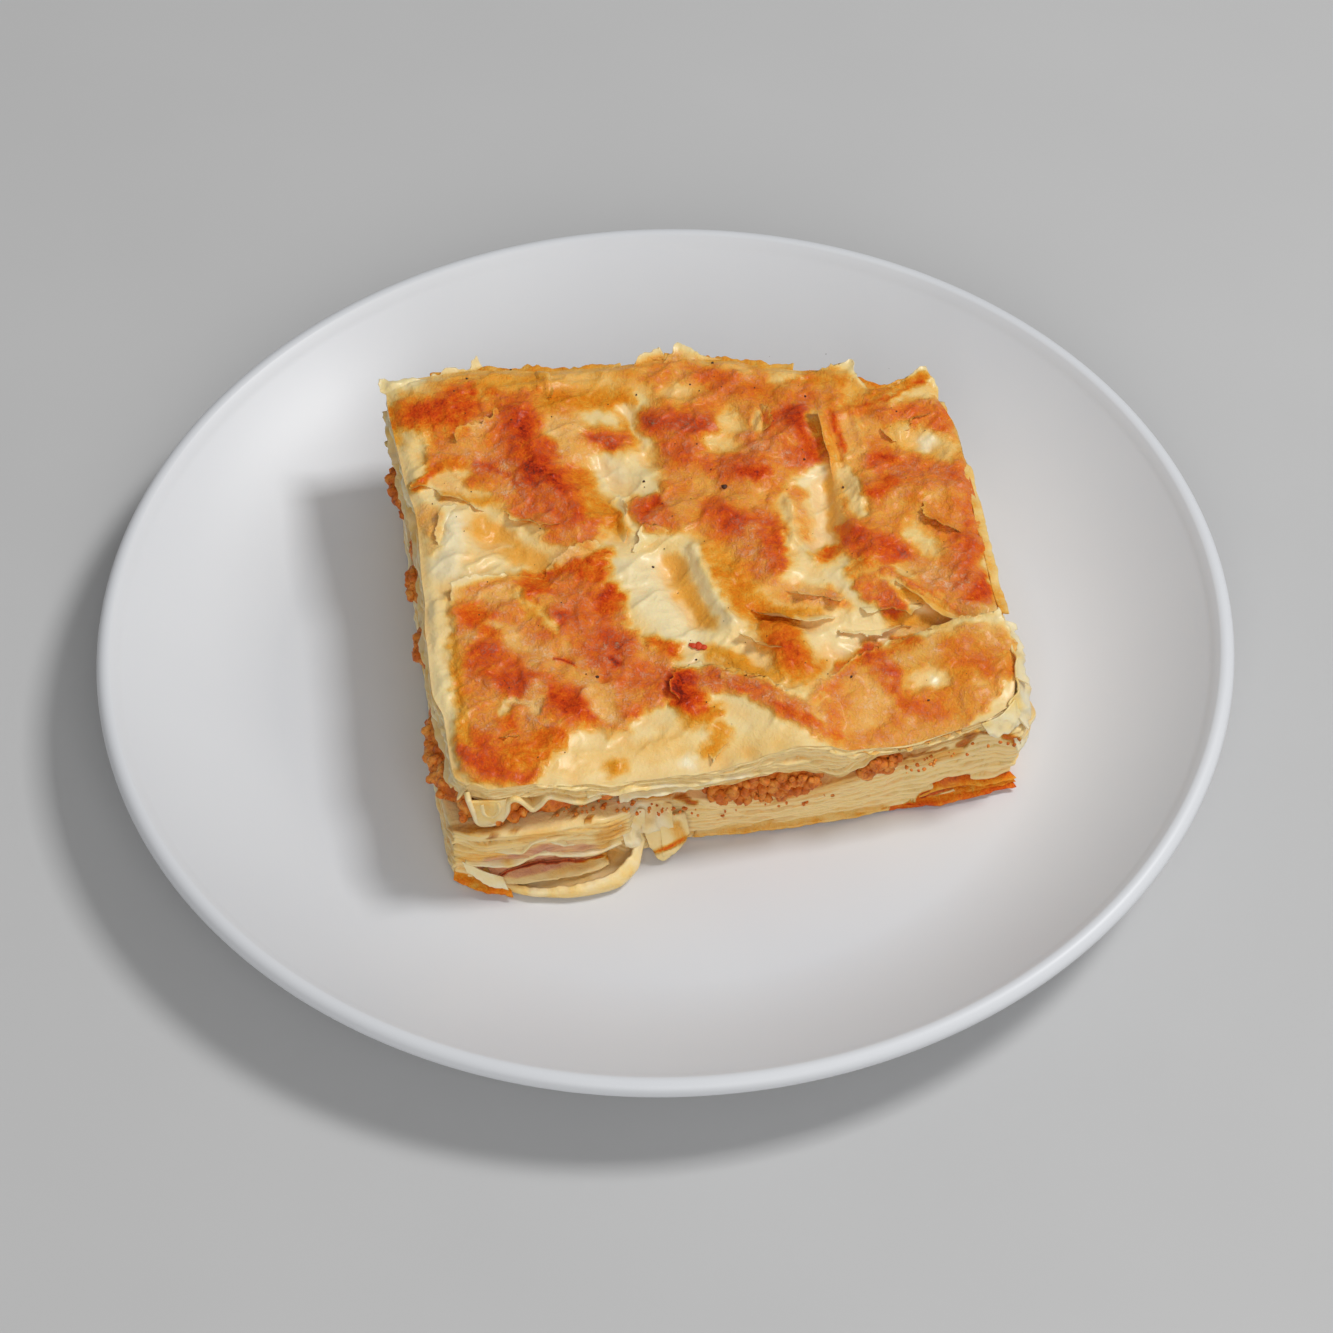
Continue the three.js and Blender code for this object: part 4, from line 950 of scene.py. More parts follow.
    def seam(self, level: float, wave: Array, cut: Knots, u: Array, s: Array, t: Array) -> Array:
        """A face along the meat: level with a wavy border, but following knots near the front.

        Args:
            level: its height inside.
            wave: what is added towards its border.
            cut: the (across, height) knots of the front cut.
            u: places across.
            s: share across.
            t: share back.

        Returns:
            Heights.
        """
        front = 1 - smooth(t / 0.15)
        edge = smooth((np.maximum(np.abs(2 * s - 1), np.abs(2 * t - 1)) - 0.7) / 0.3)
        return mix(level + wave * edge * (1 - front), along(cut, u), front)

    def lower_top(self, u: Array, v: Array, s: Array, t: Array) -> Array:
        """Top of the lower stack."""
        return self.seam(self.seam_low, crinkle(u + v, 0.6, 1.3), self.lower_front, u, s, t)

    def upper_under(self, u: Array, v: Array, s: Array, t: Array) -> Array:
        """Underside of the upper stack."""
        return self.seam(self.seam_high, crinkle(u - v, 0.6, 2.9), self.upper_front, u, s, t)

    def relief(self, u: Array, v: Array) -> Array:
        """Small forms: creases, soft wrinkles of the boiled sheet, and steps at plate edges.

        Each crease is a narrow bell across its line. The wrinkles are noise folded at zero, which
        makes ridges, stretched along one direction.
        """
        height = np.zeros(u.shape)
        for crease in self.creases:
            height = height + crease.bell(u, v)
        skewed = np.stack([0.7 * u + 0.4 * v, 1.3 * v - 0.7 * u], -1)
        wrinkle = 1 - np.abs(noise(skewed, 7.5, 51, 3))
        thin = 1 - np.abs(noise(skewed[..., ::-1], 3.6, 54, 2))
        flat = np.stack([u, v], -1)
        height = height + 0.55 * (wrinkle ** 4 - 0.4) + 0.12 * (thin ** 5 - 0.3)
        height = height + 0.4 * noise(flat, 5.0, 52, 2)
        wobble = 0.7 * noise(flat, 1.6, 53, 2)
        return height + 0.5 * smooth(-(from_outline(u, v, PLATE_OUTLINE) + wobble) / 0.8 + 0.5)

    def crust(self, u: Array, v: Array, s: Array, t: Array, fine: bool = True) -> Array:
        """Crust height: the tilted plane with folds and relief, falling away to its edges.

        Args:
            u: places across.
            v: places back.
            s: share across.
            t: share back.
            fine: whether the small forms are added.

        Returns:
            Heights.
        """
        side = self.width * np.minimum(s, 1 - s)
        back, front = self.length * (1 - t), self.length * t
        inside = smooth(np.minimum(np.minimum(side, back), front) / self.edge_reach)
        height = crinkle(u + 0.6 * v, 0.35, 0.4)
        for fold in self.folds:
            height = height + fold.bell(u, v)
        if fine:
            height = height + self.relief(u, v)
        folded = self.level(u, v) + height * inside
        dropped = folded - self.edge_drop * (1 - smooth(np.minimum(side, back) / self.edge_reach))
        edge = np.minimum(along(self.front_edge, u), dropped)
        return mix(edge, dropped, smooth(front / along(self.front_reach, u)))

    def crust_at(self, u: Array, v: Array, fine: bool = False) -> Array:
        """Crust height from a plan place alone."""
        return self.crust(u, v, *UPPER_OUTLINE.share(u, v), fine=fine)


@dataclass
class Finishes:
    """The materials of the slice, made once and shared."""

    pastry: bpy.types.Material = field(default_factory=lambda: PastryFinish().build())
    meat: bpy.types.Material = field(default_factory=lambda: MeatFinish().build())
    glaze: bpy.types.Material = field(default_factory=lambda: GlazeFinish().build())


def blurred(grid: Array, half: int) -> Array:
    """Mean over a square of 2 * half + 1 cells, by differences of running sums."""
    for axis in (0, 1):
        padded = np.pad(grid, [(half + 1, half) if k == axis else (0, 0) for k in (0, 1)], "edge")
        total = np.moveaxis(np.cumsum(padded, axis), axis, 0)
        grid = np.moveaxis((total[2 * half + 1:] - total[:-2 * half - 1]) / (2 * half + 1), 0, axis)
    return grid


@dataclass
class Crust:
    """The browned top face of the upper stack."""

    shape: CrustShape
    finishes: Finishes
    browning: Browning
    columns: int = 310
    rows: int = 280
    hollow_shade_reach: int = 9

    def points(self) -> Array:
        """(rows, columns, 3) grid of the top face, evenly spaced in s and t."""
        t, s = np.meshgrid(np.linspace(0, 1, self.rows), np.linspace(0, 1, self.columns), indexing="ij")
        u, v = UPPER_OUTLINE.point(s, t)
        return np.stack([u, v, self.shape.crust(u, v, s, t)], -1)

    def build(self) -> Array:
        """Makes the piece.

        Returns:
            Its border, front edge first and anticlockwise, which the cut side joins.
        """
        grid = self.points()
        flat = grid.reshape(-1, 3)
        paint = self.browning.paint(*flat.T)
        # Painted shade: hollows of the pale crust, below the blurred height, are tinted ochre.
        hollow = (blurred(grid[..., 2], self.hollow_shade_reach) - grid[..., 2]).reshape(-1)
        hollow_shade = smooth(hollow / 0.45) + 0.3 * noise(flat[:, :2], 8.0, 62, 2)
        pale = smooth((0.4 - paint["browning"]) / 0.2)
        paint["ochre"] = np.clip(paint["ochre"] + 0.4 * hollow_shade * pale, 0, 1)
        active = smooth((paint["browning"] - 0.25) / 0.3)
        grain = active * (0.2 * noise(flat[:, :2], 1.3, 61, 3)
                          + 0.6 * smooth((noise(flat[:, :2], 3.4, 64, 2) - 0.05) / 0.5))
        border = np.zeros(grid.shape[:2], bool)
        border[[0, -1]] = border[:, [0, -1]] = True
        raised = flat.copy()
        raised[:, 2] += np.where(border.reshape(-1), 0, grain)
        make_piece("browned_crust", raised, grid_faces(self.rows, self.columns), self.finishes.pastry,
                   "pastry_top", paint)
        return np.concatenate([grid[0, :-1], grid[:-1, -1], grid[-1, :0:-1], grid[:0:-1, 0]])


@dataclass
class CutSide:
    """The cut side of a stack: many thin sheets whose ends stand out unevenly, all round.

    The side is a grid of the outline by height. A sheet number rises with height and wanders
    along the outline; each sheet's end stands out by its own noise, and between sheets lies a
    narrow groove of uneven depth.
    """

    name: str
    node: str
    slot: str
    finishes: Finishes
    sheets: float
    rows: int
    seed: int
    depth: float = 0.45
    spread: float = 0.55

    def stand_out(self, length: Array, level: Array) -> tuple[Array, Array]:
        """How far the side stands out, and how deep in a groove it is.

        Args:
            length: distance along the outline.
            level: 0 at the foot to 1 at the top.

        Returns:
            The distance outward, and the groove's share from 0 to 1.
        """
        ring = np.stack([length, 0 * length], -1)
        count = level * self.sheets + 0.9 * noise(ring, 17, self.seed)
        count = count + 0.3 * noise(ring, 4.6, self.seed + 1)
        sheet = np.floor(count)
        f = count - sheet
        own = np.stack([length, sheet * 41.0], -1)
        groove = np.abs(2 * f - 1) ** 3.4
        depth = self.depth * (0.35 + 0.9 * smooth(0.5 + noise(own, 8, self.seed + 2)))
        out = self.spread * noise(own, 9, self.seed + 3, 2) + 0.3 * noise(own, 2.0, self.seed + 4, 2)
        return out - depth * groove, groove

    def build(self, below: Array, above: Array, extra: "SideForm", lid: Array | None = None) -> None:
        """Makes the piece between two rings.

        Args:
            below: (n, 3) foot of the side.
            above: (n, 3) top of the side.
            extra: large forms of this side.
            lid: (k, n, 3) rows that carry on inward over the top, or None.
        """
        step = np.roll(below, -1, 0) - np.roll(below, 1, 0)
        out = np.stack([step[:, 1], -step[:, 0]], -1) / np.linalg.norm(step[:, :2], axis=1)[:, None]
        kernel = np.ones(9) / 9
        padded = np.concatenate([out[-4:], out, out[:4]])
        out = np.stack([np.convolve(padded[:, k], kernel, "valid") for k in (0, 1)], -1)
        length = np.cumsum(np.linalg.norm(np.diff(below, axis=0, prepend=below[:1]), axis=1))
        level = np.linspace(0, 1, self.rows)[:, None] + 0 * length
        side = mix(below[None], above[None], level[..., None])
        detail, groove = self.stand_out(length + 0 * level, level)
        fade = smooth((1 - level) / 0.06)
        shift, tint = extra.at(side[..., 0], side[..., 1], level)
        side[..., :2] += out * (detail * fade + shift)[..., None]
        patchy = noise(np.stack([length + 0 * level, level * 40], -1), 6, self.seed + 5)
        # Painted shade: ochre rises with groove depth between the sheets.
        brown, ochre = 0.07 + 0.05 * patchy + tint, 0.4 * groove ** 2 + 0.12 + 0.2 * patchy
        marks = FrontMarks().paint(*side.reshape(-1, 3).T)
        front = smooth((-42.5 - side[..., 1]) / 1.5)
        paint = {key: mix(here, marks[key].reshape(front.shape), front)
                 for key, here in plain_paint(brown, ochre).items()}
        # Painted shade: grooves made yellower again and a little browner.
        paint["ochre"] = np.clip(paint["ochre"] + 0.75 * groove ** 2 * smooth(0.6 + patchy), 0, 1)
        paint["browning"] = paint["browning"] + 0.1 * groove ** 3 * smooth(0.5 - patchy)
        if lid is not None:
            side = np.concatenate([side, lid])
            marks = FrontMarks().paint(*lid.reshape(-1, 3).T)
            paint = {key: np.concatenate([here, marks[key].reshape(lid.shape[:2])])
                     for key, here in paint.items()}
        faces = grid_faces(len(side), len(below), wrap=True)
        make_piece(self.name, side.reshape(-1, 3), faces, self.finishes.pastry, self.node,
                   {k: a.reshape(-1) for k, a in paint.items()})


class SideForm(Enum):
    """The large forms of each stack's side."""

    UPPER = "upper"
    LOWER = "lower"

    def at(self, u: Array, v: Array, level: Array) -> tuple[Array, Array]:
        """Distance outward and added browning of the side's large forms.

        Args:
            u: places across.
            v: places back.
            level: 0 at the foot to 1 at the top.

        Returns:
            The distance outward and the browning added.
        """
        if self is SideForm.UPPER:
            top = 0.22 * smooth((level - 0.9) / 0.1) * smooth((v + 40) / 5)
            return crinkle(u * 0.8 - v + 13 * level, 0.35, 4 * level) * smooth((1 - level) / 0.1), top
        front = smooth((-44 - v) / 1)
        pocket = front * smooth((u + 54) / 6) * smooth((-21 - u) / 5)
        hollow = -4.0 * np.exp(-((level - 0.22) / 0.17) ** 4) + 0.8 * smooth((level - 0.45) / 0.2)
        right = smooth((u - 48) / 5) * smooth((-20 - v) / 10)
        out = pocket * hollow + right * mix(-1.4, 2.2, smooth(1.4 * level)) * smooth((1 - level) / 0.1)
        crusty = smooth((0.08 - level) / 0.08) * (0.12 + 0.35 * smooth((u - 26) / 6) * front)
        return out, crusty + 0.3 * right * smooth((0.2 - level) / 0.1)


def closed_solid(top: Array, bottom: Array, quads: Array) -> tuple[Array, Array]:
    """Joins an upper and a lower copy of a quad sheet round their open edges.

    Args:
        top: (n, 3) upper places.
        bottom: (n, 3) lower places.
        quads: (m, 4) point numbers of the sheet, facing up.

    Returns:
        The points and the quads of the closed solid.
    """
    edges = np.concatenate([quads[:, [k, (k + 1) % 4]] for k in range(4)])
    key = np.sort(edges, axis=1) @ np.array([len(top), 1])
    _, first, count = np.unique(key, return_index=True, return_counts=True)
    a, b = edges[first[count == 1]].T
    n = len(top)
    rim = np.stack([b, a, a + n, b + n], -1)
    return np.concatenate([top, bottom]), np.concatenate([quads, quads[:, ::-1] + n, rim])


@dataclass(frozen=True)
class TornSheet:
    """A torn flake of crust: an outline with a ragged rim that lifts towards one side."""

    name: str
    outline: Knots
    lift: float
    toward: tuple[float, float]
    base: float
    curl: float = 0.6
    ragged: float = 0.7
    seed: int = 1
    thickness: float = 0.35
    cell: float = 0.34

    def away(self, u: Array, v: Array) -> Array:
        """Signed distance to the ragged rim: the outline's own plus noise of two sizes."""
        flat = np.stack([u, v], -1)
        teeth = np.abs(noise(flat, 2.0, 75 + self.seed, 2)) - 0.3
        wander = (0.7 * noise(flat, 3.0, 70 + self.seed, 2) + 1.1 * teeth
                  + 0.3 * noise(flat, 0.9, 80 + self.seed))
        return from_outline(u, v, self.outline) + self.ragged * wander

    def build(self, shape: CrustShape, finishes: Finishes, browning: Browning) -> None:
        """Makes the piece: grid cells inside the rim, those across it drawn back onto the rim.

        Args:
            shape: heights of the crust that it lies on.
            finishes: the materials.
            browning: the painted values.
        """
        low, high = np.min(self.outline, 0) - 1.5, np.max(self.outline, 0) + 1.5
        v, u = np.meshgrid(np.arange(low[1], high[1], self.cell), np.arange(low[0], high[0], self.cell),
                           indexing="ij")
        quads = grid_faces(*u.shape)
        u, v = u.reshape(-1), v.reshape(-1)
        away = self.away(u, v)
        quads = quads[(away[quads] < 0).any(axis=1)]
        used, quads = np.unique(quads, return_inverse=True)
        quads = quads.reshape(-1, 4)
        u, v, away = u[used], v[used], away[used]
        step = 0.05
        for _ in range(2):
            gu = (self.away(u + step, v) - self.away(u - step, v)) / (2 * step)
            gv = (self.away(u, v + step) - self.away(u, v - step)) / (2 * step)
            move = np.where(away > 0, away, 0) / np.maximum(gu * gu + gv * gv, 0.3)
            u, v = u - gu * move, v - gv * move
            away = self.away(u, v)
        top = self.surface(shape, u, v, away)
        rim = smooth((away + 0.8) / 0.8)
        thick = self.thickness * (1 - 0.5 * rim)
        points, faces = closed_solid(top, top - np.stack([0 * u, 0 * u, thick], -1), quads)
        paint = browning.paint(*top.T)
        # Paler towards the rim: painted highlight along the thin edge.
        paint["browning"] = paint["browning"] * (1 - 0.3 * rim)
        under = plain_paint(np.full(len(u), 0.12), 0.2)
        make_piece(self.name, points, faces, finishes.pastry, "pastry_top",
                   {key: np.concatenate([paint[key], under[key]]) for key in paint})

    def surface(self, shape: CrustShape, u: Array, v: Array, away: Array) -> Array:
        """Places of the upper face: the crust below, plus lift towards one side, curl and ripples."""
        size = math.hypot(*self.toward)
        middle = (np.mean([p[0] for p in self.outline]), np.mean([p[1] for p in self.outline]))
        forward = ((u - middle[0]) * self.toward[0] + (v - middle[1]) * self.toward[1]) / size
        share = smooth(forward / forward.max())
        flat = np.stack([u, v], -1)
        ripple = 0.34 * noise(flat, 4.4, 90 + self.seed, 2) + 0.14 * noise(flat, 1.5, 95 + self.seed, 2)
        rim = np.exp(np.minimum(away, 0) / 1.3)
        uneven = 0.6 + 0.7 * noise(flat, 5.0, 99 + self.seed)
        height = shape.crust_at(u, v) + mix(-0.9, self.base, smooth(share / 0.45))
        height = height + self.lift * share ** 2 + ripple + self.curl * rim * uneven * (0.25 + share)
        return np.stack([u, v, height], -1)


@dataclass(frozen=True)
class Band:
    """A thin sheet between a root line and a free rim, both through (u, v, z) knots."""

    name: str
    root: Knots
    rim: Knots
    node: str = "pastry_bottom"
    slot: str = "pastry_sheets"
    thickness: float = 0.7
    sag: float = 0.0
    ripple: float = 0.25
    brown_root: float | None = None
    brown_rim: float = 0.1
    ochre: float = 0.15
    ragged: float = 0.3
    seed: int = 1
    floor: float = 5.35
    rows: int = 26
    columns: int = 90

    def build(self, finishes: Finishes) -> None:
        """Makes the piece: the two lines blended, rippled, and thickened across the sheet.

        Args:
            finishes: the materials.
        """
        root, rim = curve(self.root, self.columns), curve(self.rim, self.columns)
        t = np.linspace(0, 1, self.rows)[:, None, None]
        sheet = mix(root[None], rim[None], t)
        flat = np.stack([sheet[..., 0], sheet[..., 2] * 0.6 + sheet[..., 1]], -1)
        along_u, along_t = np.gradient(sheet, axis=1), np.gradient(sheet, axis=0)
        normal = np.cross(along_u, along_t)
        normal /= np.maximum(np.linalg.norm(normal, axis=-1, keepdims=True), 1e-9)
        wave = self.ripple * noise(flat, 3.2, 110 + self.seed, 2) - self.sag * np.sin(np.pi * t[..., 0])
        sheet = sheet + normal * wave[..., None]
        torn = self.ragged * smooth((t[..., 0] - 0.4) / 0.6) * (
            noise(flat, 4.6, 120 + self.seed, 3) + 0.3 * noise(flat, 0.9, 125 + self.seed))
        sheet = sheet + along_t / np.linalg.norm(along_t, axis=-1, keepdims=True) * torn[..., None]
        half = normal * (self.thickness / 2 * (1 - 0.45 * smooth((t - 0.85) / 0.15)))
        up, down = sheet + half, sheet - half
        for side in (up, down):
            side[..., 2] = np.maximum(side[..., 2], self.floor)
        points, faces = closed_solid(up.reshape(-1, 3), down.reshape(-1, 3),
                                     grid_faces(self.rows, self.columns))
        paint = FrontMarks().paint(*points.T)
        if self.brown_root is not None:
            shade = mix(self.brown_root, self.brown_rim, smooth(t[..., 0]))
            shade = shade + 0.1 * noise(flat, 2.4, 130 + self.seed, 2)
            paint = plain_paint(np.clip(np.concatenate([shade.reshape(-1)] * 2), 0, 1), self.ochre)
        make_piece(self.name, points, faces, finishes.pastry, self.node, paint)


@dataclass(frozen=True)
class TopBand(Band):
    """A thin sheet of the upper stack."""

    node: str = "pastry_top"
    slot: str = "browned_crust"
    thickness: float = 0.4


@dataclass
class UpperStack:
    """The upper stack: crust, cut side, torn sheets and the ruffle at the front left."""

    shape: CrustShape
    finishes: Finishes
    browning: Browning
    flakes: tuple[TornSheet, ...] = rows_of(
        TornSheet,
        ("draped_flap", ((13.4, -39), (15.5, -33.5), (20, -31.5), (25, -28), (32, -25.6), (40, -25),
         (46, -23.6), (53, -24.6), (55.4, -30), (53.4, -36), (50, -41), (46, -44.6), (40, -47),
         (31, -47.8), (22, -48), (17, -45.6)), 2.2, (0, 1), 0.7, 0.9, 1.0, 1),
        ("left_lip", ((-52.3, 26.5), (-51.4, 29.2), (-47.3, 30.8), (-44.4, 31.8), (-39.3, 30.2),
         (-37, 26.7), (-36.3, 20), (-40.1, 19.9), (-42.3, 23.1), (-46.3, 23.6), (-48, 27)), 1.0,
         (-0.7, -0.9), 0.4, 0.9, 0.6, 2),
        ("curled_strip", ((29, 33.6), (30.5, 32.8), (31.5, 25), (31.5, 18.9), (29.8, 17.3),
         (29.3, 24.2)), 1.2, (-1, 0), 0.9, 1.2, 0.3, 3),
        ("back_peak", ((0, 50), (3.7, 53.9), (5.9, 57), (7.7, 55.6), (10.4, 54.2), (14.6, 52.6),
         (12.1, 46), (8.6, 44.1), (5.6, 46.6)), 0.9, (0, 1), 0.2, 0.7, 0.6, 6),
        ("back_sheet", ((22, 46.4), (28.7, 46.4), (35.4, 46.1), (39.6, 47), (39.6, 42.6), (41.6, 38.4),
         (39.2, 35), (32.3, 33.9), (26.2, 37.2), (22.8, 41.2)), 0.9, (0.5, 0.8), 0.3, 0.8, 0.6, 7),
        ("corner_flap", ((39.1, 34.8), (42.2, 37), (47.6, 39.4), (53.4, 41.6), (55, 36.5), (53.8, 32.8),
         (49.9, 32.8), (44.8, 32.6), (40.4, 32)), 2, (0.2, 1), 0.3, 0.8, 0.4, 8),
        ("ragged_sheet", ((30, -5), (35.8, -7.5), (41, -12), (46.6, -17), (51, -22.6), (49.2, -24.2),
         (46.4, -24.8), (41.5, -20.2), (37.7, -15.3), (34.3, -10), (30.6, -7.6)), 1.6, (-0.7, -0.8),
         0.6, 0.9, 0.4, 9),
        ("orange_sheet", ((27.3, -14.6), (31.9, -8), (35.5, -10.2), (38.1, -15.4), (39.8, -18.2),
         (37, -20.9), (32.9, -18.8), (29, -18.6)), 1.1, (-0.1, -1), 0.5, 0.9, 0.5, 12),
        ("torn_middle", ((6.2, -5.4), (11.3, -9), (14, -11.3), (20, -13), (24.4, -16.8), (22.4, -18.6),
         (14.4, -19), (10.1, -16.2), (6.4, -11.4)), 1.2, (-0.3, -1), 0.4, 0.9, 0.7, 10),
        ("torn_middle_2", ((14, -9), (17, -12.6), (21, -14), (25, -16), (26.6, -10), (22, -6)), 1.0,
         (-0.3, -1), 0.8, 0.7, 1.1, 13),
        ("shredded_ridge", ((-9.6, -28), (-4.6, -26.4), (1, -28.4), (6, -31.6), (12, -37), (17.6, -44),
         (14, -46), (8, -42), (1, -36.4), (-5, -35.4), (-8.4, -36)), 1, (0.3, 1), 0.4, 0.8, 1.1, 11),
        ("shred_top", ((-2, -29.4), (3, -30.4), (9, -35), (14, -41), (10, -40), (4, -35.4), (-1, -33)),
         0.8, (0.4, 1), 1.0, 0.7, 1.2, 14),
        ("orange_lobe", ((-20.6, 10.3), (-19.6, 17.2), (-16.5, 18.5), (-12.3, 18.7), (-11.4, 14.8),
         (-12.7, 11.3), (-12.6, 7.6), (-15.7, 6.7), (-18.2, 8.5)), 1.0, (1, 0.1), 0.2, 1.0, 0.5, 15),
        ("peach_flake", ((-42.3, 38.1), (-39.8, 40.4), (-36.3, 41), (-32.7, 43.8), (-31.8, 41.7),
         (-34, 37.2), (-37.7, 36.4), (-40.5, 35.9)), 0.9, (-0.5, 0.9), 0.3, 0.9, 0.7, 16),
        ("front_flake", ((-46, -35.4), (-42, -37.6), (-39, -35.6), (-35, -37), (-31, -34.6), (-32, -30),
         (-38, -29), (-44, -31)), 0.6, (0, -1), 0.2, 0.7, 0.8, 19),
        ("yellow_flake", ((-9, -41), (-6, -47), (-3.4, -44.4), (0, -41), (-3, -39)), 0.6, (0.3, -1),
         0.2, 0.5, 0.6, 20),
        ("right_flake", ((40, 36), (41, 28), (44, 24), (47, 28), (53, 30.4), (53, 34), (47, 36.6)), 0.5,
         (0.2, -1), 0.1, 0.5, 0.8, 21),
        ("ring_flake", ((14, 38.6), (18, 40), (20.4, 36), (20, 31), (17, 30), (17.4, 34), (16, 37)),
         0.7, (1, -0.2), 0.3, 0.7, 0.7, 22),
        ("seam_flake", ((-28.8, 55.4), (-27.7, 57.4), (-24.8, 55.6), (-20.6, 53.6), (-21.2, 45.3),
         (-22.5, 46.4), (-26.1, 50)), 0.8, (1, 0.1), 0.1, 0.9, 0.4, 23),
        ("bit_centre", ((3, -17), (8, -19.6), (12, -23), (13, -26), (9, -25), (4, -21)), 0.9,
         (-0.6, -0.8), 0.3, 0.9, 0.8, 40),
        ("bit_left", ((-50, 14), (-47, 20), (-42, 22), (-40, 18), (-44, 12), (-48, 10)), 0.8,
         (-0.8, 0.4), 0.2, 0.8, 0.9, 41),
        ("bit_mid_left", ((-37, 22), (-34, 16), (-29, 12.6), (-24, 13), (-26, 18), (-31, 23)), 0.7,
         (-0.5, -0.9), 0.2, 0.9, 0.8, 42),
        ("bit_mid", ((-13, 4), (-9, 9), (-4, 8.6), (0, 5), (-4, 2), (-9, 1.6)), 0.6, (-0.5, 0.9), 0.2,
         0.8, 0.8, 43),
        ("bit_right", ((44, 3), (48, -1), (53, -3), (54.4, 4), (52, 9), (47, 8)), 0.6, (-0.9, -0.5),
         0.2, 0.8, 0.9, 44),
        ("bit_front", ((22, -21.4), (29, -23), (36, -21.6), (43, -21), (42, -18), (34, -17.4),
         (27, -18)), 0.8, (0, -1), 0.2, 0.9, 0.9, 45),
        ("bit_ridge", ((-10, -27), (-12, -31), (-10, -35), (-5, -35.6), (-4, -30), (-6, -27)), 1.1,
         (-1, 0.2), 0.3, 0.9, 0.9, 46),
        ("corner_sheet", ((-54.6, 58.2), (-54.4, 55.2), (-52.4, 53.3), (-52.4, 49.5), (-46.2, 50.4),
         (-38.8, 52.1), (-33.8, 55.4), (-32.2, 58.5), (-34.2, 61), (-36, 59), (-41.7, 58.7),
         (-45.5, 57), (-51.2, 57)), 0.6, (-0.3, 1), 0.2, 0.5, 0.6, 5),
        ("plate_top", ((-48.4, -4), (-47.5, 0.7), (-40.7, 2.4), (-33.8, 2.4), (-30.9, 3.3),
         (-24.1, 6.8), (-17.7, 7.1), (-16.9, 3.7), (-23, -3.5), (-30.2, -5.9), (-36.7, -3),
         (-43.9, -5.4)), 0.8, (-0.3, 1), 0.2, 0.8, 0.8, 17),
        ("back_red_flake", ((-5, 52), (-2, 55.6), (2, 56.2), (4, 54), (1, 51.6)), 0.6, (-0.2, 1), 0.2,
         0.6, 0.5, 24))
    ruffle: TopBand = TopBand(
        "front_ruffle", ((-52, -46.4, 30.2), (-51.2, -46.4, 26), (-50.2, -46.4, 22.9),
        (-46.6, -46.4, 22.7), (-45, -46.4, 25.2), (-44.6, -46.4, 27.8), (-43.2, -46.4, 28.8),
        (-41.6, -46.4, 27), (-40.2, -46.4, 25.4), (-38.8, -46.4, 26.6), (-37.2, -46.4, 28.2),
        (-34.8, -46.4, 27), (-31, -46.4, 25.2), (-27.4, -46.4, 26)), ((-52, -48.6, 30.2),
        (-51.2, -48.8, 26), (-50.2, -48.9, 22.9), (-46.6, -48.9, 22.7), (-45, -48.8, 25.2),
        (-44.6, -48.8, 27.8), (-43.2, -49.1, 28.8), (-41.6, -49.2, 27), (-40.2, -49.4, 25.4),
        (-38.8, -49.4, 26.6), (-37.2, -49.2, 28.2), (-34.8, -49.2, 27), (-31, -49.2, 25.2),
        (-27.4, -48.8, 26)), thickness=1.0, ripple=0.1, brown_root=0.2, brown_rim=0.06, ochre=0.12,
        ragged=0.12)
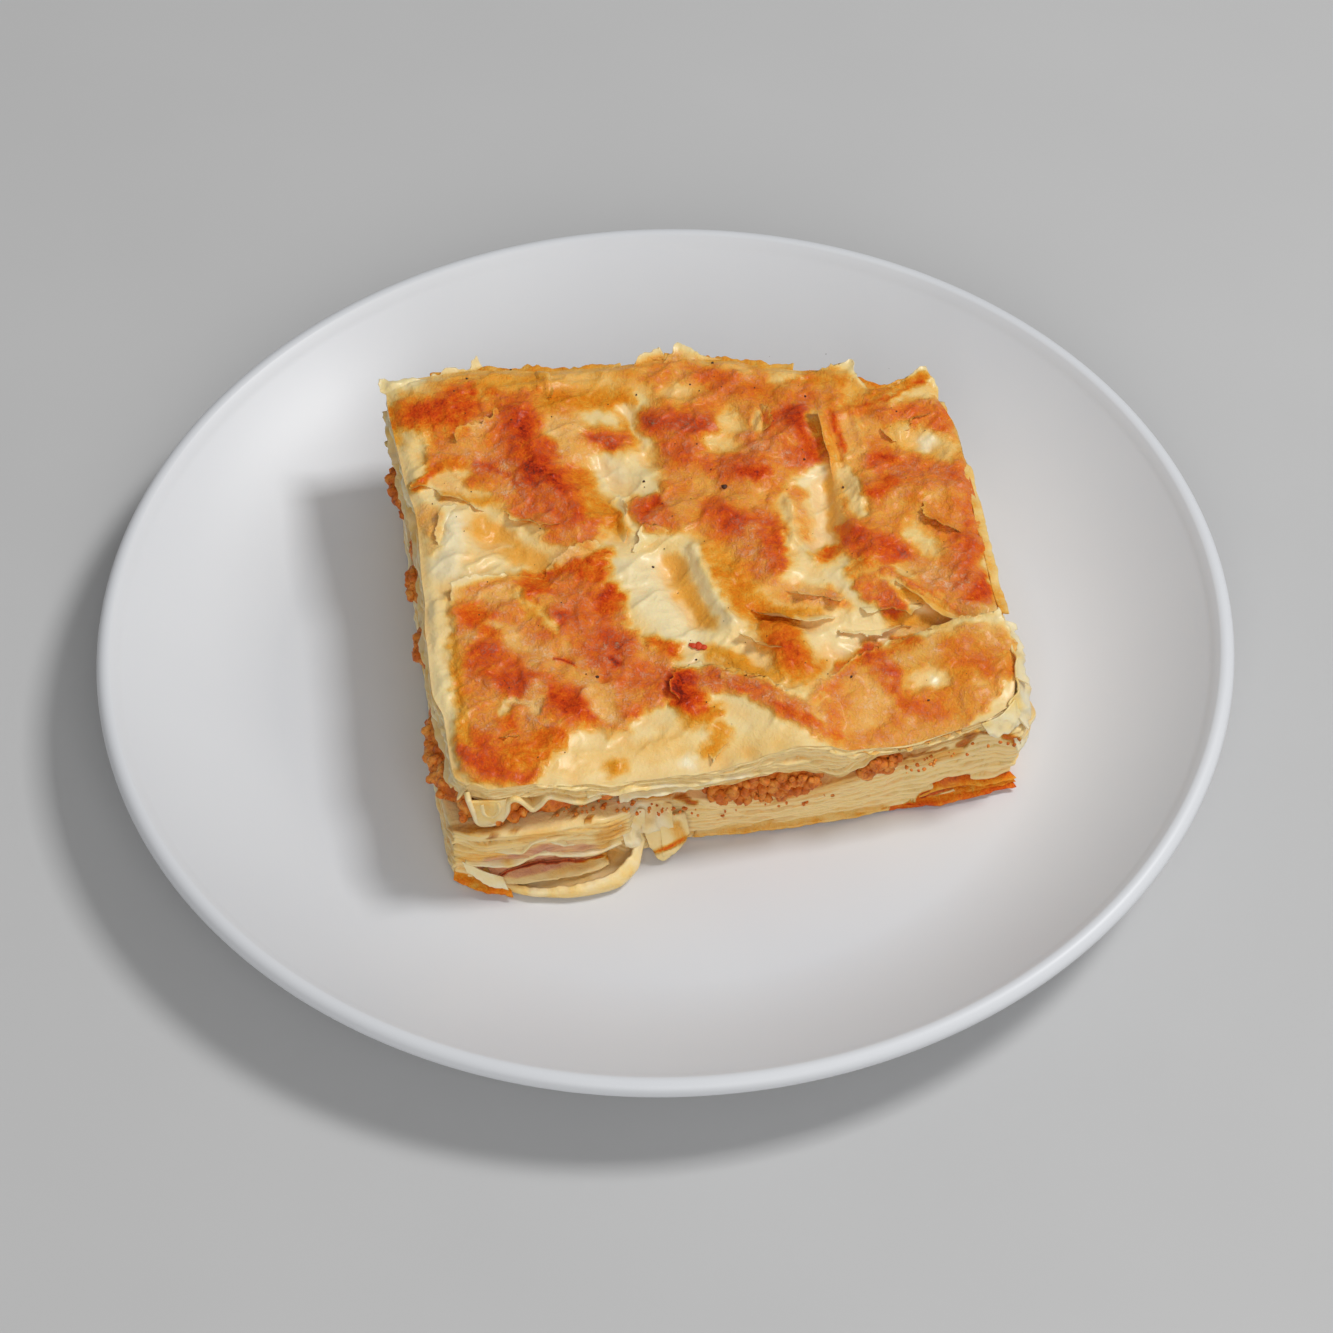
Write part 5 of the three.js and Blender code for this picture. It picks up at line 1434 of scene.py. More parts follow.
    sheets: tuple[TopBand, ...] = (
        TopBand("pleat_face", ((-51.6, -47.6, 29), (-48.4, -47.8, 28.8), (-45, -47.8, 28.4)),
            ((-50.2, -48.6, 22.8), (-47.6, -48.6, 22.6), (-45.2, -48.6, 23.8)), thickness=0.6,
            ripple=0.3, brown_root=0.16, brown_rim=0.05, ochre=0.2, seed=29),
        TopBand("inner_loop", ((-49.6, -47, 28.2), (-49.2, -47, 25.8), (-47.8, -47, 24.7),
            (-46.5, -47, 26), (-46.6, -47, 28.2)), ((-49.6, -48.6, 28.2), (-49.2, -48.9, 25.8),
            (-47.8, -48.9, 24.7), (-46.5, -48.9, 26), (-46.6, -48.6, 28.2)), thickness=0.8, ripple=0.08,
            brown_root=0.2, brown_rim=0.12, ragged=0.1),
        TopBand("ragged_end", ((45, -46.2, 27.8), (49, -45, 28.4), (52.4, -42.6, 28.8)),
            ((46.6, -47.4, 24.8), (50.4, -46.8, 23.4), (54.2, -44.4, 23.4)), ripple=0.8,
            brown_root=0.08, brown_rim=0.02, ochre=0.05, ragged=1.2, seed=22),
        TopBand("ragged_end_3", ((51, -43.6, 28.8), (53.6, -40, 29.4), (54.4, -34, 29.8)),
            ((54.4, -44.6, 21.6), (56.4, -40.4, 21.4), (56.8, -34.6, 23.6)), ripple=0.9,
            brown_root=0.08, brown_rim=0.02, ochre=0.1, ragged=1.3, seed=30),
        TopBand("ragged_end_4", ((53.4, -38, 29.8), (54.4, -31, 30.4), (54, -24, 31)),
            ((56.4, -38, 26.6), (57, -31, 27), (56.6, -24.6, 29)), ripple=0.8, brown_root=0.1,
            brown_rim=0.02, ochre=0.1, ragged=1.2, seed=31),
        TopBand("ragged_end_2", ((51.6, -44.6, 24), (54.4, -40, 24.4), (55, -34, 25)),
            ((52.6, -46.6, 17.6), (55.6, -42.4, 17.4), (56.4, -35, 20)), ripple=0.6, brown_root=0.08,
            brown_rim=0.02, ochre=0.1, ragged=1.4, seed=23),
        TopBand("left_sheet", ((-51.6, -45, 29.6), (-52.4, -30, 30), (-52, -15, 30.2), (-51, 2, 30.4)),
            ((-54, -46, 28), (-54.6, -30, 28.2), (-55, -15, 28.6), (-53.6, 2, 28.8)), ripple=0.5,
            brown_root=0.12, brown_rim=0.06, ochre=0.2, ragged=0.9, seed=24),
        TopBand("left_sheet_2", ((-50.4, 10, 30.4), (-50.6, 25, 30.8), (-51.4, 40, 31.2),
            (-52, 52, 31.6)), ((-53, 9, 28.4), (-53.6, 25, 29), (-54.4, 40, 29.2), (-55, 53, 29.6)),
            ripple=0.5, brown_root=0.14, brown_rim=0.08, ochre=0.4, ragged=1.0, seed=25),
        TopBand("left_sheet_3", ((-51.4, -40, 26.6), (-52.6, -10, 26.8), (-50.6, 15, 27),
            (-51.6, 48, 27.4)), ((-54.4, -41, 25.6), (-55.4, -10, 25.6), (-53.4, 15, 25.8),
            (-54.6, 48, 26.4)), ripple=0.4, brown_root=0.14, brown_rim=0.08, ochre=0.2, ragged=0.8,
            seed=26),
        TopBand("back_rag", ((-44, 55.6, 32.2), (-30, 55, 31.8), (-16, 53, 31.8), (-6, 52.2, 31.8)),
            ((-44, 58.8, 32.4), (-30, 58.2, 32), (-16, 56.4, 31.9), (-6, 55.6, 31.8)), ripple=0.6,
            brown_root=0.3, brown_rim=0.36, ochre=0.3, ragged=1.1, seed=36),
        TopBand("back_rag_2", ((2, 52.6, 31.8), (10, 51.4, 31.8), (18, 48.6, 31.4), (27, 45.8, 31.2)),
            ((3, 56, 32), (12, 54.4, 31.8), (20, 51.2, 31.4), (28, 48.6, 31.2)), ripple=0.6,
            brown_root=0.3, brown_rim=0.34, ochre=0.3, ragged=1.1, seed=37),
        TopBand("back_rag_3", ((36, 43.4, 31.2), (42, 38.8, 31), (48, 38, 30.8), (54, 37, 30.6)),
            ((38, 45.8, 31), (43, 41, 31), (49, 41, 30.8), (55, 39.8, 30.4)), ripple=0.5,
            brown_root=0.3, brown_rim=0.4, ochre=0.2, ragged=0.9, seed=38),
        TopBand("right_rag", ((54, -22, 30), (54.6, 0, 30.2), (54.6, 18, 30.2), (53.6, 34, 30.4)),
            ((55.8, -22, 29.2), (56.5, 0, 29.4), (56.7, 18, 29.6), (55.4, 34, 29.8)), ripple=0.5,
            brown_root=0.26, brown_rim=0.16, ochre=0.3, ragged=0.5, seed=39),
        TopBand("front_sheet", ((-30, -46.6, 26.8), (-22, -46.6, 27.4), (-12, -46.4, 26),
            (-4, -46.2, 25.4), (6, -46.2, 26.2)), ((-30, -49, 26.2), (-22, -49.4, 26.9),
            (-12, -49, 25.2), (-4, -48.6, 24.8), (6, -48.2, 25.4)), thickness=0.5, ripple=0.5,
            brown_root=0.14, brown_rim=0.05, ochre=0.1, ragged=0.5, seed=27),
        TopBand("front_sheet_2", ((-24, -46.4, 24.6), (-16, -46.4, 24.8), (-8, -46.2, 23.8)),
            ((-24, -49.2, 24), (-16, -49, 24), (-8, -48.6, 23.2)), thickness=0.5, ripple=0.5,
            brown_root=0.14, brown_rim=0.03, ochre=0.05, ragged=0.7, seed=28))

    def build(self) -> None:
        """Makes the crust, then the side that joins its border, then what lies on it."""
        crust = Crust(self.shape, self.finishes, self.browning)
        top = crust.build()
        s, t = border_walk(crust.columns, crust.rows)
        u, v = UPPER_OUTLINE.point(s, t)
        below = np.stack([u, v, self.shape.upper_under(u, v, s, t)], -1)
        middle = np.array([0.0, 4.0, 24.0])
        inward = [mix(below, middle, share) for share in (0.09, 0.04, 0.01)]
        side = CutSide("upper_sheets", "pastry_top", "browned_crust", self.finishes,
                       sheets=8.5, rows=42, seed=200, depth=0.65)
        side.build(below, top, SideForm.UPPER)
        under = np.stack(inward + [below])
        make_piece("upper_underside", under.reshape(-1, 3), grid_faces(4, len(below), wrap=True),
                   self.finishes.pastry, "pastry_top",
                   {"browning": np.full(under.shape[:2], 0.1).reshape(-1)})
        for flake in self.flakes:
            flake.build(self.shape, self.finishes, self.browning)
        for band in (self.ruffle,) + self.sheets:
            band.build(self.finishes)


def border_walk(columns: int, rows: int) -> tuple[Array, Array]:
    """The border of a grid as s and t, anticlockwise from the front left corner."""
    across, back = np.linspace(0, 1, columns)[:-1], np.linspace(0, 1, rows)[:-1]
    s = np.concatenate([across, 1 + 0 * back, 1 - across, 0 * back])
    t = np.concatenate([0 * across, back, 1 + 0 * across, 1 - back])
    return s, t


@dataclass
class LowerStack:
    """The lower stack: cut side and ledge, the pocket with its lip, and torn tabs."""

    shape: CrustShape
    finishes: Finishes
    bands: tuple[Band, ...] = (
        Band("pocket_lip", ((-48, -46, 6.4), (-42, -46, 6.2), (-37, -45.6, 6.2), (-31, -45.6, 6.2),
            (-26, -45.6, 6.6), (-22.6, -45, 8), (-20.4, -44.6, 11)), ((-46.6, -51.6, 5.9),
            (-42, -53.6, 5.8), (-37, -54.8, 5.8), (-31, -55.4, 5.9), (-26, -54.8, 6.2), (-22, -52, 7.4),
            (-19.8, -48.4, 10.6)), thickness=0.8, brown_root=0.12, ochre=0.3, brown_rim=0.06, seed=2),
        Band("pocket_roll", ((-47.4, -51, 5.9), (-42, -53.6, 5.8), (-37, -54.8, 5.8), (-31, -55.4, 5.9),
            (-26, -54.8, 6.2), (-22, -52.2, 7.2), (-19.8, -48.6, 10.4)), ((-46.6, -50.6, 6.8),
            (-42, -53, 7.4), (-37, -54.2, 8), (-31, -54.6, 8.6), (-26, -53.8, 9.4),
            (-22.6, -51.4, 10.8), (-20.6, -48, 13)), thickness=1.0, brown_root=0.1, ochre=0.16,
            brown_rim=0.04, sag=-0.5, ragged=0.5, seed=12),
        Band("inner_sheet", ((-50, -46, 8.6), (-44, -45.6, 9), (-38, -45.6, 9.4), (-32, -45.6, 9),
            (-27, -46, 8.8)), ((-48, -50.8, 7.2), (-43.6, -51.8, 7.4), (-38, -52.2, 7.6),
            (-32, -52, 7.4), (-26.6, -51, 7.6)), thickness=0.5, ripple=0.35, ragged=0.5, seed=32),
        Band("browned_tab", ((-55.4, -46.4, 9), (-52, -46.6, 8), (-47, -47, 7)), ((-55.9, -48.4, 7.4),
            (-51.6, -51.2, 6.6), (-45.4, -54.2, 6.2)), thickness=0.7, brown_root=0.14, brown_rim=0.5,
            ochre=0.3, ripple=0.5, ragged=0.7, seed=3),
        Band("torn_edge", ((-54, -48.4, 12.6), (-51, -49.8, 11), (-47, -50.6, 8.8)),
            ((-53.4, -49.6, 10.6), (-50, -51.4, 8), (-46, -52.8, 6.6)), thickness=0.5, brown_root=0.02,
            brown_rim=0.0, ochre=0.0, ripple=0.4, ragged=0.9, seed=13),
        Band("wavy_fold", ((-48, -47, 17), (-45, -47, 17.2), (-43, -47, 16.8), (-41, -47, 18.6),
            (-38.5, -47, 19), (-36.5, -47, 17.8), (-34, -47, 17), (-29, -47, 17.4), (-24, -47, 18.4)),
            ((-48, -50.6, 16.6), (-45, -51.6, 16.8), (-43, -51.8, 16.6), (-41, -51.8, 18.8),
            (-38.5, -51.8, 19.4), (-36.5, -51.8, 18), (-34, -51.6, 16.8), (-29, -51, 17),
            (-24, -50, 18)), thickness=0.8, brown_root=0.16, brown_rim=0.06, ochre=0.12, ripple=0.12,
            seed=14),
        Band("pocket_brow", ((-53, -46.6, 12.8), (-46, -47, 13), (-42, -47, 14.4), (-39, -47, 15),
            (-34, -47, 13.6), (-29, -47, 12.6), (-24, -46.8, 12.4)), ((-53.6, -49.4, 12.6),
            (-46, -51.6, 13), (-42, -52.2, 14.8), (-39, -52.3, 15.6), (-34, -52.2, 14),
            (-29, -51.6, 12.8), (-24, -50, 12.6)), thickness=0.9, brown_root=0.14, brown_rim=0.06,
            ochre=0.16, ripple=0.2, seed=15),
        Band("tab_ridge", ((-24.4, -47, 18.2), (-21.8, -47, 18.8), (-19.4, -46.6, 18.2)),
            ((-23.4, -50.4, 12), (-21.6, -50.8, 11.2), (-19.6, -49.6, 12.4)), thickness=0.8,
            brown_root=0.1, brown_rim=0.06, ochre=0.1, ripple=1.4, ragged=0.8, seed=17),
        Band("ledge_ridge", ((-20, -46.4, 19), (-17.4, -46.4, 18.6), (-14, -46, 17.6)),
            ((-20, -49, 13.6), (-17.2, -49.4, 13), (-14, -48.4, 13.6)), thickness=0.7, brown_root=0.1,
            brown_rim=0.03, ochre=0.2, ripple=1.4, ragged=0.8, seed=33),
        Band("hanging_tab", ((-19.8, -46.6, 14), (-17.6, -46.8, 14.4), (-15, -46.2, 14.6)),
            ((-18.8, -48.8, 9), (-16.8, -49.6, 6.2), (-14.6, -49.6, 6.6)), thickness=1.1, ripple=0.8,
            ragged=0.9, seed=4),
        Band("hanging_tab_2", ((-16.4, -46.4, 15.4), (-14, -46.6, 15), (-11.4, -46, 14.4)),
            ((-16.6, -49.8, 7.4), (-14.4, -49.6, 6.8), (-10.8, -48.2, 9.6)), thickness=0.9, ripple=0.8,
            ragged=0.9, seed=34),
        Band("bottom_fringe", ((-9, -44.6, 6.6), (5, -45, 6.5), (18, -45, 6.5), (29, -44.8, 6.5)),
            ((-10, -45.8, 5.9), (4, -46.6, 5.8), (17, -47, 5.8), (28, -46.2, 5.9)), thickness=0.5,
            brown_root=0.12, brown_rim=0.24, ochre=0.3, ripple=0.3, ragged=0.35, seed=18),
        Band("bottom_crust", ((27, -44.4, 6.6), (36, -44.6, 6.8), (44, -44.4, 7), (52, -43.8, 7.2)),
            ((27, -45.8, 5.9), (35, -46.6, 5.9), (44, -46.4, 6), (53, -45.6, 6.2)), thickness=0.6,
            brown_root=0.5, brown_rim=0.66, ochre=0.1, ripple=0.3, ragged=0.5, seed=19),
        Band("crust_lip", ((34, -44.4, 8.2), (38, -44.6, 10.8), (42, -44.6, 11.4), (46, -44.2, 9.6),
            (52, -43.6, 8.8)), ((34, -45.4, 7.4), (37, -46, 9.4), (42, -46, 10), (46, -45.6, 8.6),
            (53, -44.8, 8)), thickness=0.5, brown_root=0.8, brown_rim=0.4, ochre=0.3, ripple=0.3,
            ragged=0.5, seed=20),
        Band("crust_layer", ((40, -44.4, 9), (46, -44.2, 8), (52, -43.6, 7.8)), ((41, -46, 8),
            (46, -46, 7.2), (53, -45, 7)), thickness=0.5, brown_root=0.4, brown_rim=0.5, ochre=0.3,
            ripple=0.3, ragged=0.5, seed=35))

    def build(self) -> None:
        """Makes the side with a lid that runs in over the top, then the bands."""
        s, t = border_walk(250, 226)
        u, v = LOWER_OUTLINE.point(s, t)
        below = np.stack([u, v, 0 * u + self.shape.base_height], -1)
        above = np.stack([u, v, self.shape.lower_top(u, v, s, t)], -1)
        rows = []
        for share in (0.01, 0.03, 0.06, 0.1, 0.15, 0.2):
            inner_s, inner_t = 0.5 + (s - 0.5) * (1 - share), 0.5 + (t - 0.5) * (1 - share)
            iu, iv = LOWER_OUTLINE.point(inner_s, inner_t)
            rows.append(np.stack([iu, iv, self.shape.lower_top(iu, iv, inner_s, inner_t)], -1))
        side = CutSide("lower_sheets", "pastry_bottom", "pastry_sheets", self.finishes,
                       sheets=13.5, rows=88, seed=300, depth=0.72, spread=0.6)
        side.build(below, above, SideForm.LOWER, np.stack(rows))
        for band in self.bands:
            band.build(self.finishes)


@dataclass
class MeatLayer:
    """The minced meat: a lumpy core between the stacks and loose crumbs along the cut."""

    shape: CrustShape
    finishes: Finishes
    crumbs: int = 760
    gap: float = 0.48
    bulges: Knots = ((39, 5), (14, 3), (-3, 3), (-30, 9), (-44, 3))

    def build(self) -> None:
        """Makes the core, then the crumbs."""
        s, t = border_walk(220, 200)
        lu, lv = LOWER_OUTLINE.point(s, t)
        uu, uv = UPPER_OUTLINE.point(s, t)
        low = np.stack([lu, lv, self.shape.lower_top(lu, lv, s, t) + self.gap], -1)
        high = np.stack([uu, uv, self.shape.upper_under(uu, uv, s, t) - self.gap], -1)
        middle = (low + high) / 2
        step = np.roll(middle, -1, 0) - np.roll(middle, 1, 0)
        out = np.stack([step[:, 1], -step[:, 0], 0 * s], -1)
        out /= np.linalg.norm(out, axis=1, keepdims=True)
        u, v = middle[:, 0], middle[:, 1]
        front = smooth((-38 - v) / 3)
        shows = np.maximum(smooth((u + 8) / 4) * smooth((16 - u) / 3),
                           smooth((u - 20) / 3) * smooth((31 - u) / 3))
        corner = smooth((-39 - u) / 5)
        clumps = sum(smooth(1.4 - np.abs(v - at) / reach) for at, reach in self.bulges)
        bulge = smooth((-46 - u) / 2) * clumps
        inset = mix(0.9 - 2.2 * np.minimum(bulge, 1), 3.4 - 3.1 * shows - 0.5 * corner, front)
        shows = np.maximum(shows, 0.6 * corner)
        level = np.linspace(0, 1, 22)[:, None, None]
        core = mix(low[None], high[None], level)
        lumps = 0.9 * noise(core, 2.6, 401, 3) + 0.5 * noise(core, 1.1, 402, 2)
        belly = 0.8 * np.sin(np.pi * level[..., 0])
        core = core + out * (lumps + belly - inset - 0.4)[..., None]
        inner = mix(core[[0, -1]], np.array([0.0, 3.0, 22.0]), 0.12)
        core = np.concatenate([inner[:1], core, inner[1:]])
        make_piece("meat_core", core.reshape(-1, 3), grid_faces(len(core), len(s), wrap=True),
                   self.finishes.meat, "meat_filling")
        self.scatter(low, high, out, front, np.maximum(shows, (1 - front) * bulge), inset)

    def scatter(self, low: Array, high: Array, out: Array, front: Array, shows: Array,
                inset: Array) -> None:
        """Makes the crumbs as one piece: small balls of 80 faces, each lumpy in its own way.

        Args:
            low: foot of the layer's side.
            high: top of the layer's side.
            out: outward directions.
            front: share of being on the front cut.
            shows: share of a clump on the front cut.
            inset: how far the core lies in.
        """
        rng = np.random.default_rng(7)
        weight = mix(1.0 + 4.0 * shows, 0.35 + 5.0 * shows, front)
        pick = rng.choice(len(low), self.crumbs, p=weight / weight.sum())
        rise = rng.uniform(0.08, 0.92, self.crumbs)[:, None]
        radius = rng.uniform(0.55, 1.35, self.crumbs)
        radius *= np.minimum(1, 0.42 * (high - low)[pick, 2] / radius)
        shift = rng.uniform(-0.9, 0.5, self.crumbs) - inset[pick] + 1.2 * shows[pick] * front[pick]
        centre = mix(low[pick], high[pick], rise) + out[pick] * shift[:, None]
        centre[:, 2] = np.clip(centre[:, 2], low[pick, 2] + 0.8 * radius, high[pick, 2] - 0.8 * radius)
        build_crumbs("meat_crumbs", centre, radius, rng, self.finishes.meat, "meat_filling")


def build_crumbs(name: str, centre: Array, radius: Array, rng: np.random.Generator,
                 material: bpy.types.Material, node: str, flat: float = 1.0) -> None:
    """Makes many small lumps as one piece.

    Args:
        name: piece name.
        centre: (n, 3) middles.
        radius: (n,) radii.
        rng: seeded random source.
        material: finish.
        node: solid that they stand for.
        flat: height as a share of width.
    """
    ball, triangles = unit_ball()
    turn = rng.normal(size=(len(centre), 3, 3))
    turn, _ = np.linalg.qr(turn)
    turned = ball[None] @ turn
    lumps = 1 + 0.28 * noise(turned + 9.0 * np.arange(len(centre))[:, None, None], 0.8, 501)
    stretch = rng.uniform(0.75, 1.2, (len(centre), 1, 3)) * np.array([1, 1, flat])
    points = centre[:, None] + turned * lumps[..., None] * stretch * radius[:, None, None]
    faces = triangles[None] + len(ball) * np.arange(len(centre))[:, None, None]
    make_piece(name, points.reshape(-1, 3), faces.reshape(-1, 3), material, node)


def unit_ball() -> tuple[Array, Array]:
    """Points and triangles of a ball of 80 faces: each face of a 20-sided one cut in four."""
    g = (1 + math.sqrt(5)) / 2
    ends = [(-1, g, 0), (1, g, 0), (-1, -g, 0), (1, -g, 0), (0, -1, g), (0, 1, g),
            (0, -1, -g), (0, 1, -g), (g, 0, -1), (g, 0, 1), (-g, 0, -1), (-g, 0, 1)]
    tri = np.array([(0, 11, 5), (0, 5, 1), (0, 1, 7), (0, 7, 10), (0, 10, 11), (1, 5, 9), (5, 11, 4),
                    (11, 10, 2), (10, 7, 6), (7, 1, 8), (3, 9, 4), (3, 4, 2), (3, 2, 6), (3, 6, 8),
                    (3, 8, 9), (4, 9, 5), (2, 4, 11), (6, 2, 10), (8, 6, 7), (9, 8, 1)])
    points = np.array(ends, float)
    a, b, c = tri.T
    pairs = np.sort(np.concatenate([tri[:, [0, 1]], tri[:, [1, 2]], tri[:, [2, 0]]]), axis=1)
    edges, where = np.unique(pairs, axis=0, return_inverse=True)
    ab, bc, ca = where.reshape(3, -1) + len(points)
    points = np.concatenate([points, points[edges].mean(axis=1)])
    points /= np.linalg.norm(points, axis=1, keepdims=True)
    parts = ((a, ab, ca), (b, bc, ab), (c, ca, bc), (ab, bc, ca))
    return points, np.concatenate([np.stack(part, -1) for part in parts])


@dataclass
class Specks:
    """Ground pepper on the crust, meat crumbs on the cut, and one flake of chilli."""

    shape: CrustShape
    meat: bpy.types.Material
    dust: int = 110
    large_grain: int = 8
    left_crumbs: int = 52
    right_crumbs: int = 26
    hanging_crumbs: int = 14
    pepper: Knots = (
        (-22, 42), (-22, 21), (-25.5, 6), (-4.5, 45), (-37, 55), (-28, 56), (-30, 42.5), (-33, 50),
        (8.3, 18), (21, 33.5), (19, 43), (28.5, 39), (25, 25), (25, 22.5), (45.5, 32), (6.5, 23),
        (8, 44), (6.5, 46), (7, 56), (-45.6, 34), (-40, 52), (-26, -24), (-9, 0), (-5, -24), (-24, -25),
        (5, 30), (23, -33), (36, -41), (-7, 22), (12, 51), (31, 14), (26, 42))

    def build(self) -> None:
        """Places the pepper where its sight line meets the crust, the crumbs, then the chilli."""
        rng = np.random.default_rng(19)
        dust = np.stack([rng.uniform(-50, 52, self.dust), rng.uniform(-44, 52, self.dust)], -1)
        spots = np.concatenate([np.array(self.pepper, float), dust])
        radius = np.concatenate([rng.uniform(0.14, 0.3, len(self.pepper)),
                                 rng.uniform(0.06, 0.14, self.dust)])
        radius[self.large_grain] = 0.7
        pepper = SpeckFinish("ground_pepper", (34, 20, 12), (96, 54, 30)).build()
        build_crumbs("pepper", self.on_crust(spots, 0.12), radius, rng, pepper, "pastry_top",
                     0.7)
        hanging, count = self.hanging_crumbs, self.left_crumbs + self.right_crumbs + self.hanging_crumbs
        across = np.concatenate([rng.uniform(-37, -9, self.left_crumbs),
                                 rng.uniform(30, 51, self.right_crumbs), rng.uniform(-5, 18, hanging)])
        crumbs = np.stack([across, rng.uniform(-49.4, -46.4, count),
                           along(self.shape.lower_front, across) + 0.15], -1)
        crumbs[-hanging:, 1:] = np.stack([rng.uniform(-46.4, -45.6, hanging),
                                          rng.uniform(11, 14, hanging)], -1)
        build_crumbs("loose_crumbs", crumbs, rng.uniform(0.12, 0.42, count), rng, self.meat,
                     "meat_filling")
        chilli = SpeckFinish("chilli_skin", (196, 40, 8), (230, 84, 20)).build()
        flake = self.on_crust(np.array([(-5, -20.4), (-4, -20.6), (-3.1, -21.2)]), 0.4)
        build_crumbs("chilli_flake", flake, np.array([0.7, 0.85, 0.75]), rng, chilli, "pastry_top",
                     0.4)

    def on_crust(self, spots: Array, proud: float) -> Array:
        """Places on the crust whose sight lines meet the middle plane at the spots."""
        u, v = spots.T.copy()
        for _ in range(5):
            z = self.shape.crust_at(u, v, fine=True) + proud
            ru, rv = laid_out(u, v, z)
            u, v = u + spots[:, 0] - ru, v + spots[:, 1] - rv
        return np.stack([u, v, z], -1)


@dataclass
class Plate:
    """The coupe plate: a turned profile with a rounded lip and a foot ring."""

    finishes: Finishes
    radius: float = 110.0
    rim_top: float = 19.3
    rim_width: float = 3.9
    well_radius: float = 76.0
    well_height: float = 5.0
    wall_foot: float = 106.0
    wall_rise: float = 12.8
    wall_power: float = 1.8
    thickness: float = 3.8
    segments: int = 256

    def wall(self, r: Array) -> Array:
        """Height of the inner face: level in the well, then rising by a power of the radius."""
        share = np.clip((r - self.well_radius) / (self.wall_foot - self.well_radius), 0, None)
        return self.well_height + self.wall_rise * share ** self.wall_power

    def profile(self) -> Array:
        """(n, 2) radius and height, from the middle of the underside round to that of the well."""
        foot = [(0.4, 1.6), (30, 1.6), (57, 1.6), (59.5, 1.6), (60.6, 1.1), (61.2, 0.35), (61.8, 0.05),
                (63.2, 0), (64.7, 0.05), (65.4, 0.35), (66.2, 0.9), (67.4, 1.2)]
        under = np.linspace(76, 104, 16)
        half = self.rim_width / 2
        turn = np.radians(np.linspace(-60, 118, 22))
        arc = np.stack([self.radius - half + half * np.cos(turn),
                        self.rim_top - half + half * np.sin(turn)], -1)
        inner = np.concatenate([np.linspace(self.wall_foot - 0.2, self.well_radius, 34),
                                np.linspace(72, 0.4, 12)])
        return np.concatenate([foot, np.stack([under, self.wall(under) - self.thickness], -1), arc,
                               np.stack([inner, self.wall(inner)], -1)])

    def build(self) -> None:
        """Turns the profile round the upright axis."""
        profile = self.profile()
        angle = np.linspace(0, 2 * np.pi, self.segments, endpoint=False)
        points = np.stack([profile[:, :1] * np.cos(angle), profile[:, :1] * np.sin(angle),
                           profile[:, 1:] + 0 * angle], -1)
        faces = grid_faces(len(profile), self.segments, wrap=True)
        make_piece("plate_body", points.reshape(-1, 3), faces, self.finishes.glaze, "plate",
                   in_slice=False)


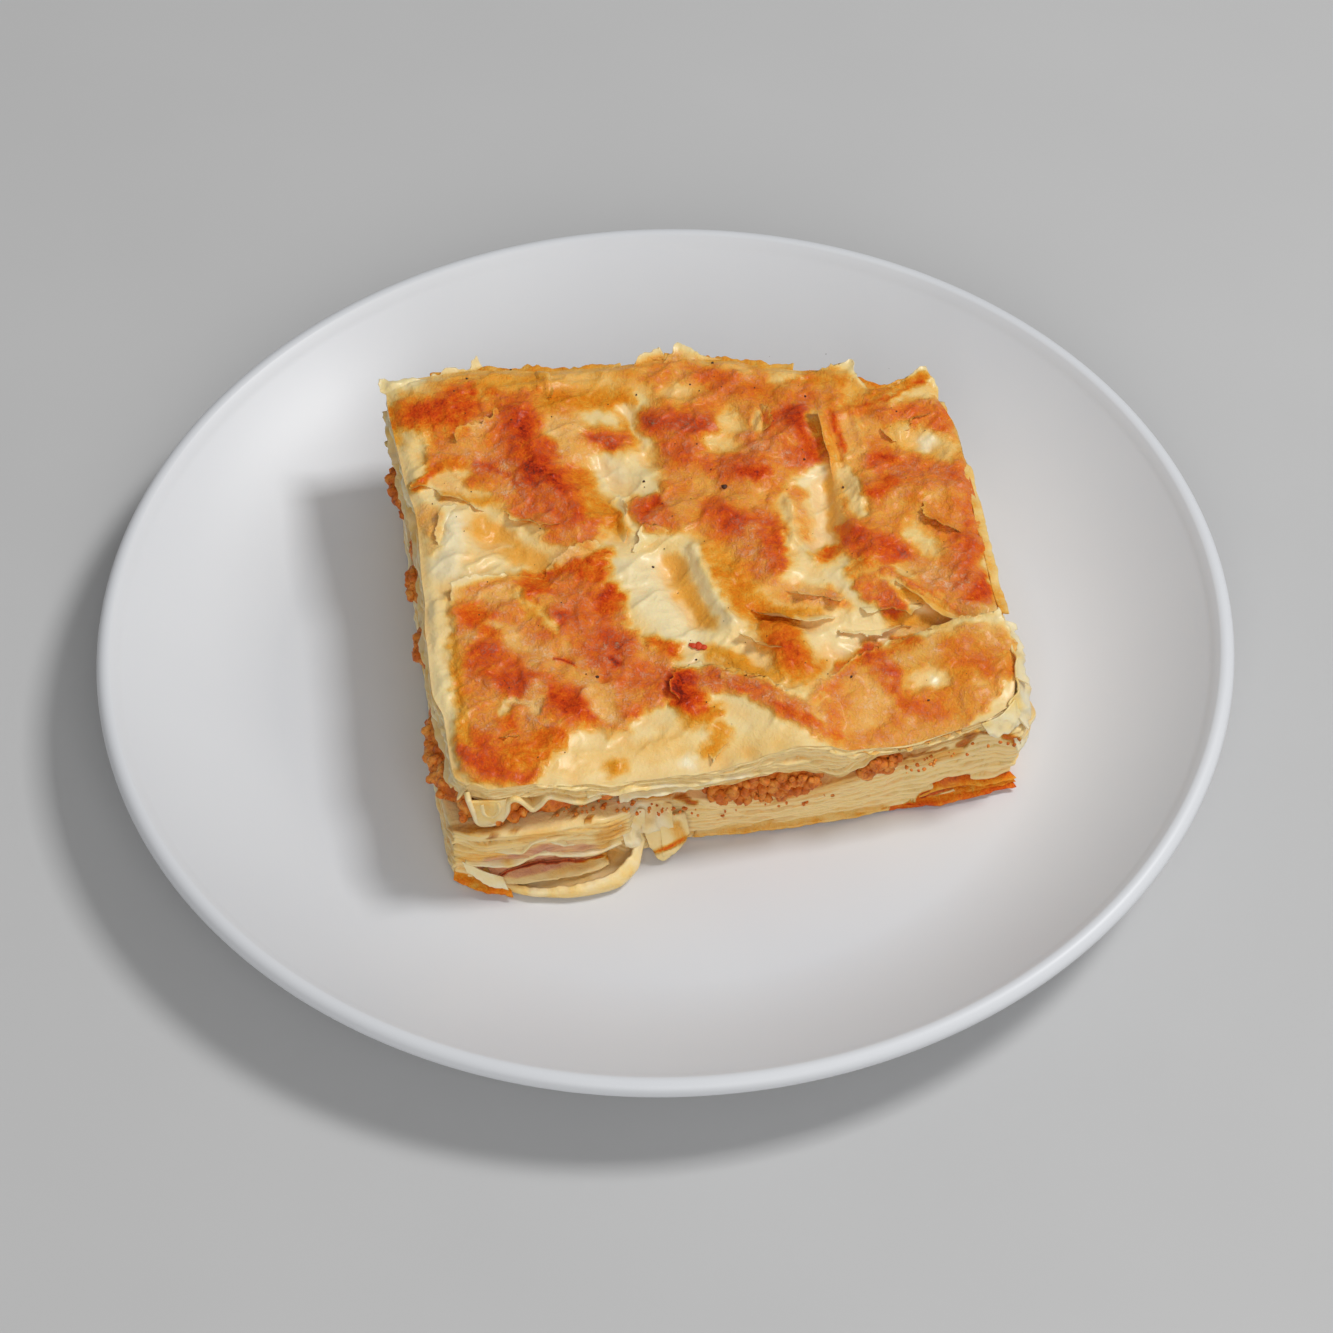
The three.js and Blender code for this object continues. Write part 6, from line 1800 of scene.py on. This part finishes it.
@dataclass
class Studio:
    """Plain pale floor, a key light from the right, a broad fill from the front, and the camera."""

    lens: float = SENSOR_WIDTH * CAMERA_FOCUS_PIXELS / PICTURE_PIXELS
    roll: float = math.radians(-1.3747)
    key_place: tuple[float, float, float] = (0.95, 0.22, 1.45)
    key_power: float = 15.8
    key_size: float = 0.4
    fill_place: tuple[float, float, float] = (0.1, -1.25, 0.9)
    fill_power: float = 8.4
    fill_size: float = 1.0
    world_light: float = 0.215

    def build(self) -> None:
        """Makes the floor, the lights, the sky and the camera."""
        floor = bpy.data.meshes.new("floor")
        floor.from_pydata([(-3, -3, 0), (3, -3, 0), (3, 3, 0), (-3, 3, 0)], [], [(0, 1, 2, 3)])
        floor.materials.append(FloorFinish().build())
        plane = bpy.data.objects.new("floor", floor)
        bpy.context.scene.collection.objects.link(plane)
        self.lamp("key_light", self.key_place, self.key_size, self.key_power)
        self.lamp("fill_light", self.fill_place, self.fill_size, self.fill_power)
        world = bpy.data.worlds.new("studio")
        world.use_nodes = True
        sky = world.node_tree.nodes["Background"]
        sky.inputs["Color"].default_value = (1, 1, 1, 1)
        sky.inputs["Strength"].default_value = self.world_light
        bpy.context.scene.world = world
        bpy.context.scene.view_settings.view_transform = "Standard"
        self.camera()

    def lamp(self, name: str, place: tuple[float, float, float], size: float, power: float) -> None:
        """A square area light that faces the slice."""
        data = bpy.data.lights.new(name, "AREA")
        data.energy, data.size = power, size
        light = bpy.data.objects.new(name, data)
        light.location = place
        light.rotation_euler = Vector(place).to_track_quat("Z", "Y").to_euler()
        bpy.context.scene.collection.objects.link(light)

    def camera(self) -> None:
        """The camera: looks down at the photograph's angle, turned a little about its axis."""
        data = bpy.data.cameras.new("camera")
        data.lens, data.sensor_width, data.clip_start = self.lens, SENSOR_WIDTH, 0.01
        camera = bpy.data.objects.new("camera", data)
        bpy.context.scene.collection.objects.link(camera)
        back = Vector((0, -math.cos(CAMERA_TILT), math.sin(CAMERA_TILT)))
        right, up = Vector((1, 0, 0)), Vector((1, 0, 0)).cross(-back)
        c, s = math.cos(self.roll), math.sin(self.roll)
        across, upward = c * right + s * up, c * up - s * right
        place = Vector(CAMERA_TARGET) * MM + back * CAMERA_DISTANCE * MM
        camera.matrix_world = Matrix((
            (across.x, upward.x, back.x, place.x), (across.y, upward.y, back.y, place.y),
            (across.z, upward.z, back.z, place.z), (0, 0, 0, 1)))
        bpy.context.scene.camera = camera


def main() -> None:
    """Builds the slice and its plate piece by piece."""
    logging.basicConfig(level=logging.INFO, format="%(message)s")
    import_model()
    finishes, shape, browning = Finishes(), CrustShape(), Browning()
    Plate(finishes).build()
    LowerStack(shape, finishes).build()
    MeatLayer(shape, finishes).build()
    UpperStack(shape, finishes, browning).build()
    Specks(shape, finishes.meat).build()
    Studio().build()


if __name__ == "__main__":
    main()
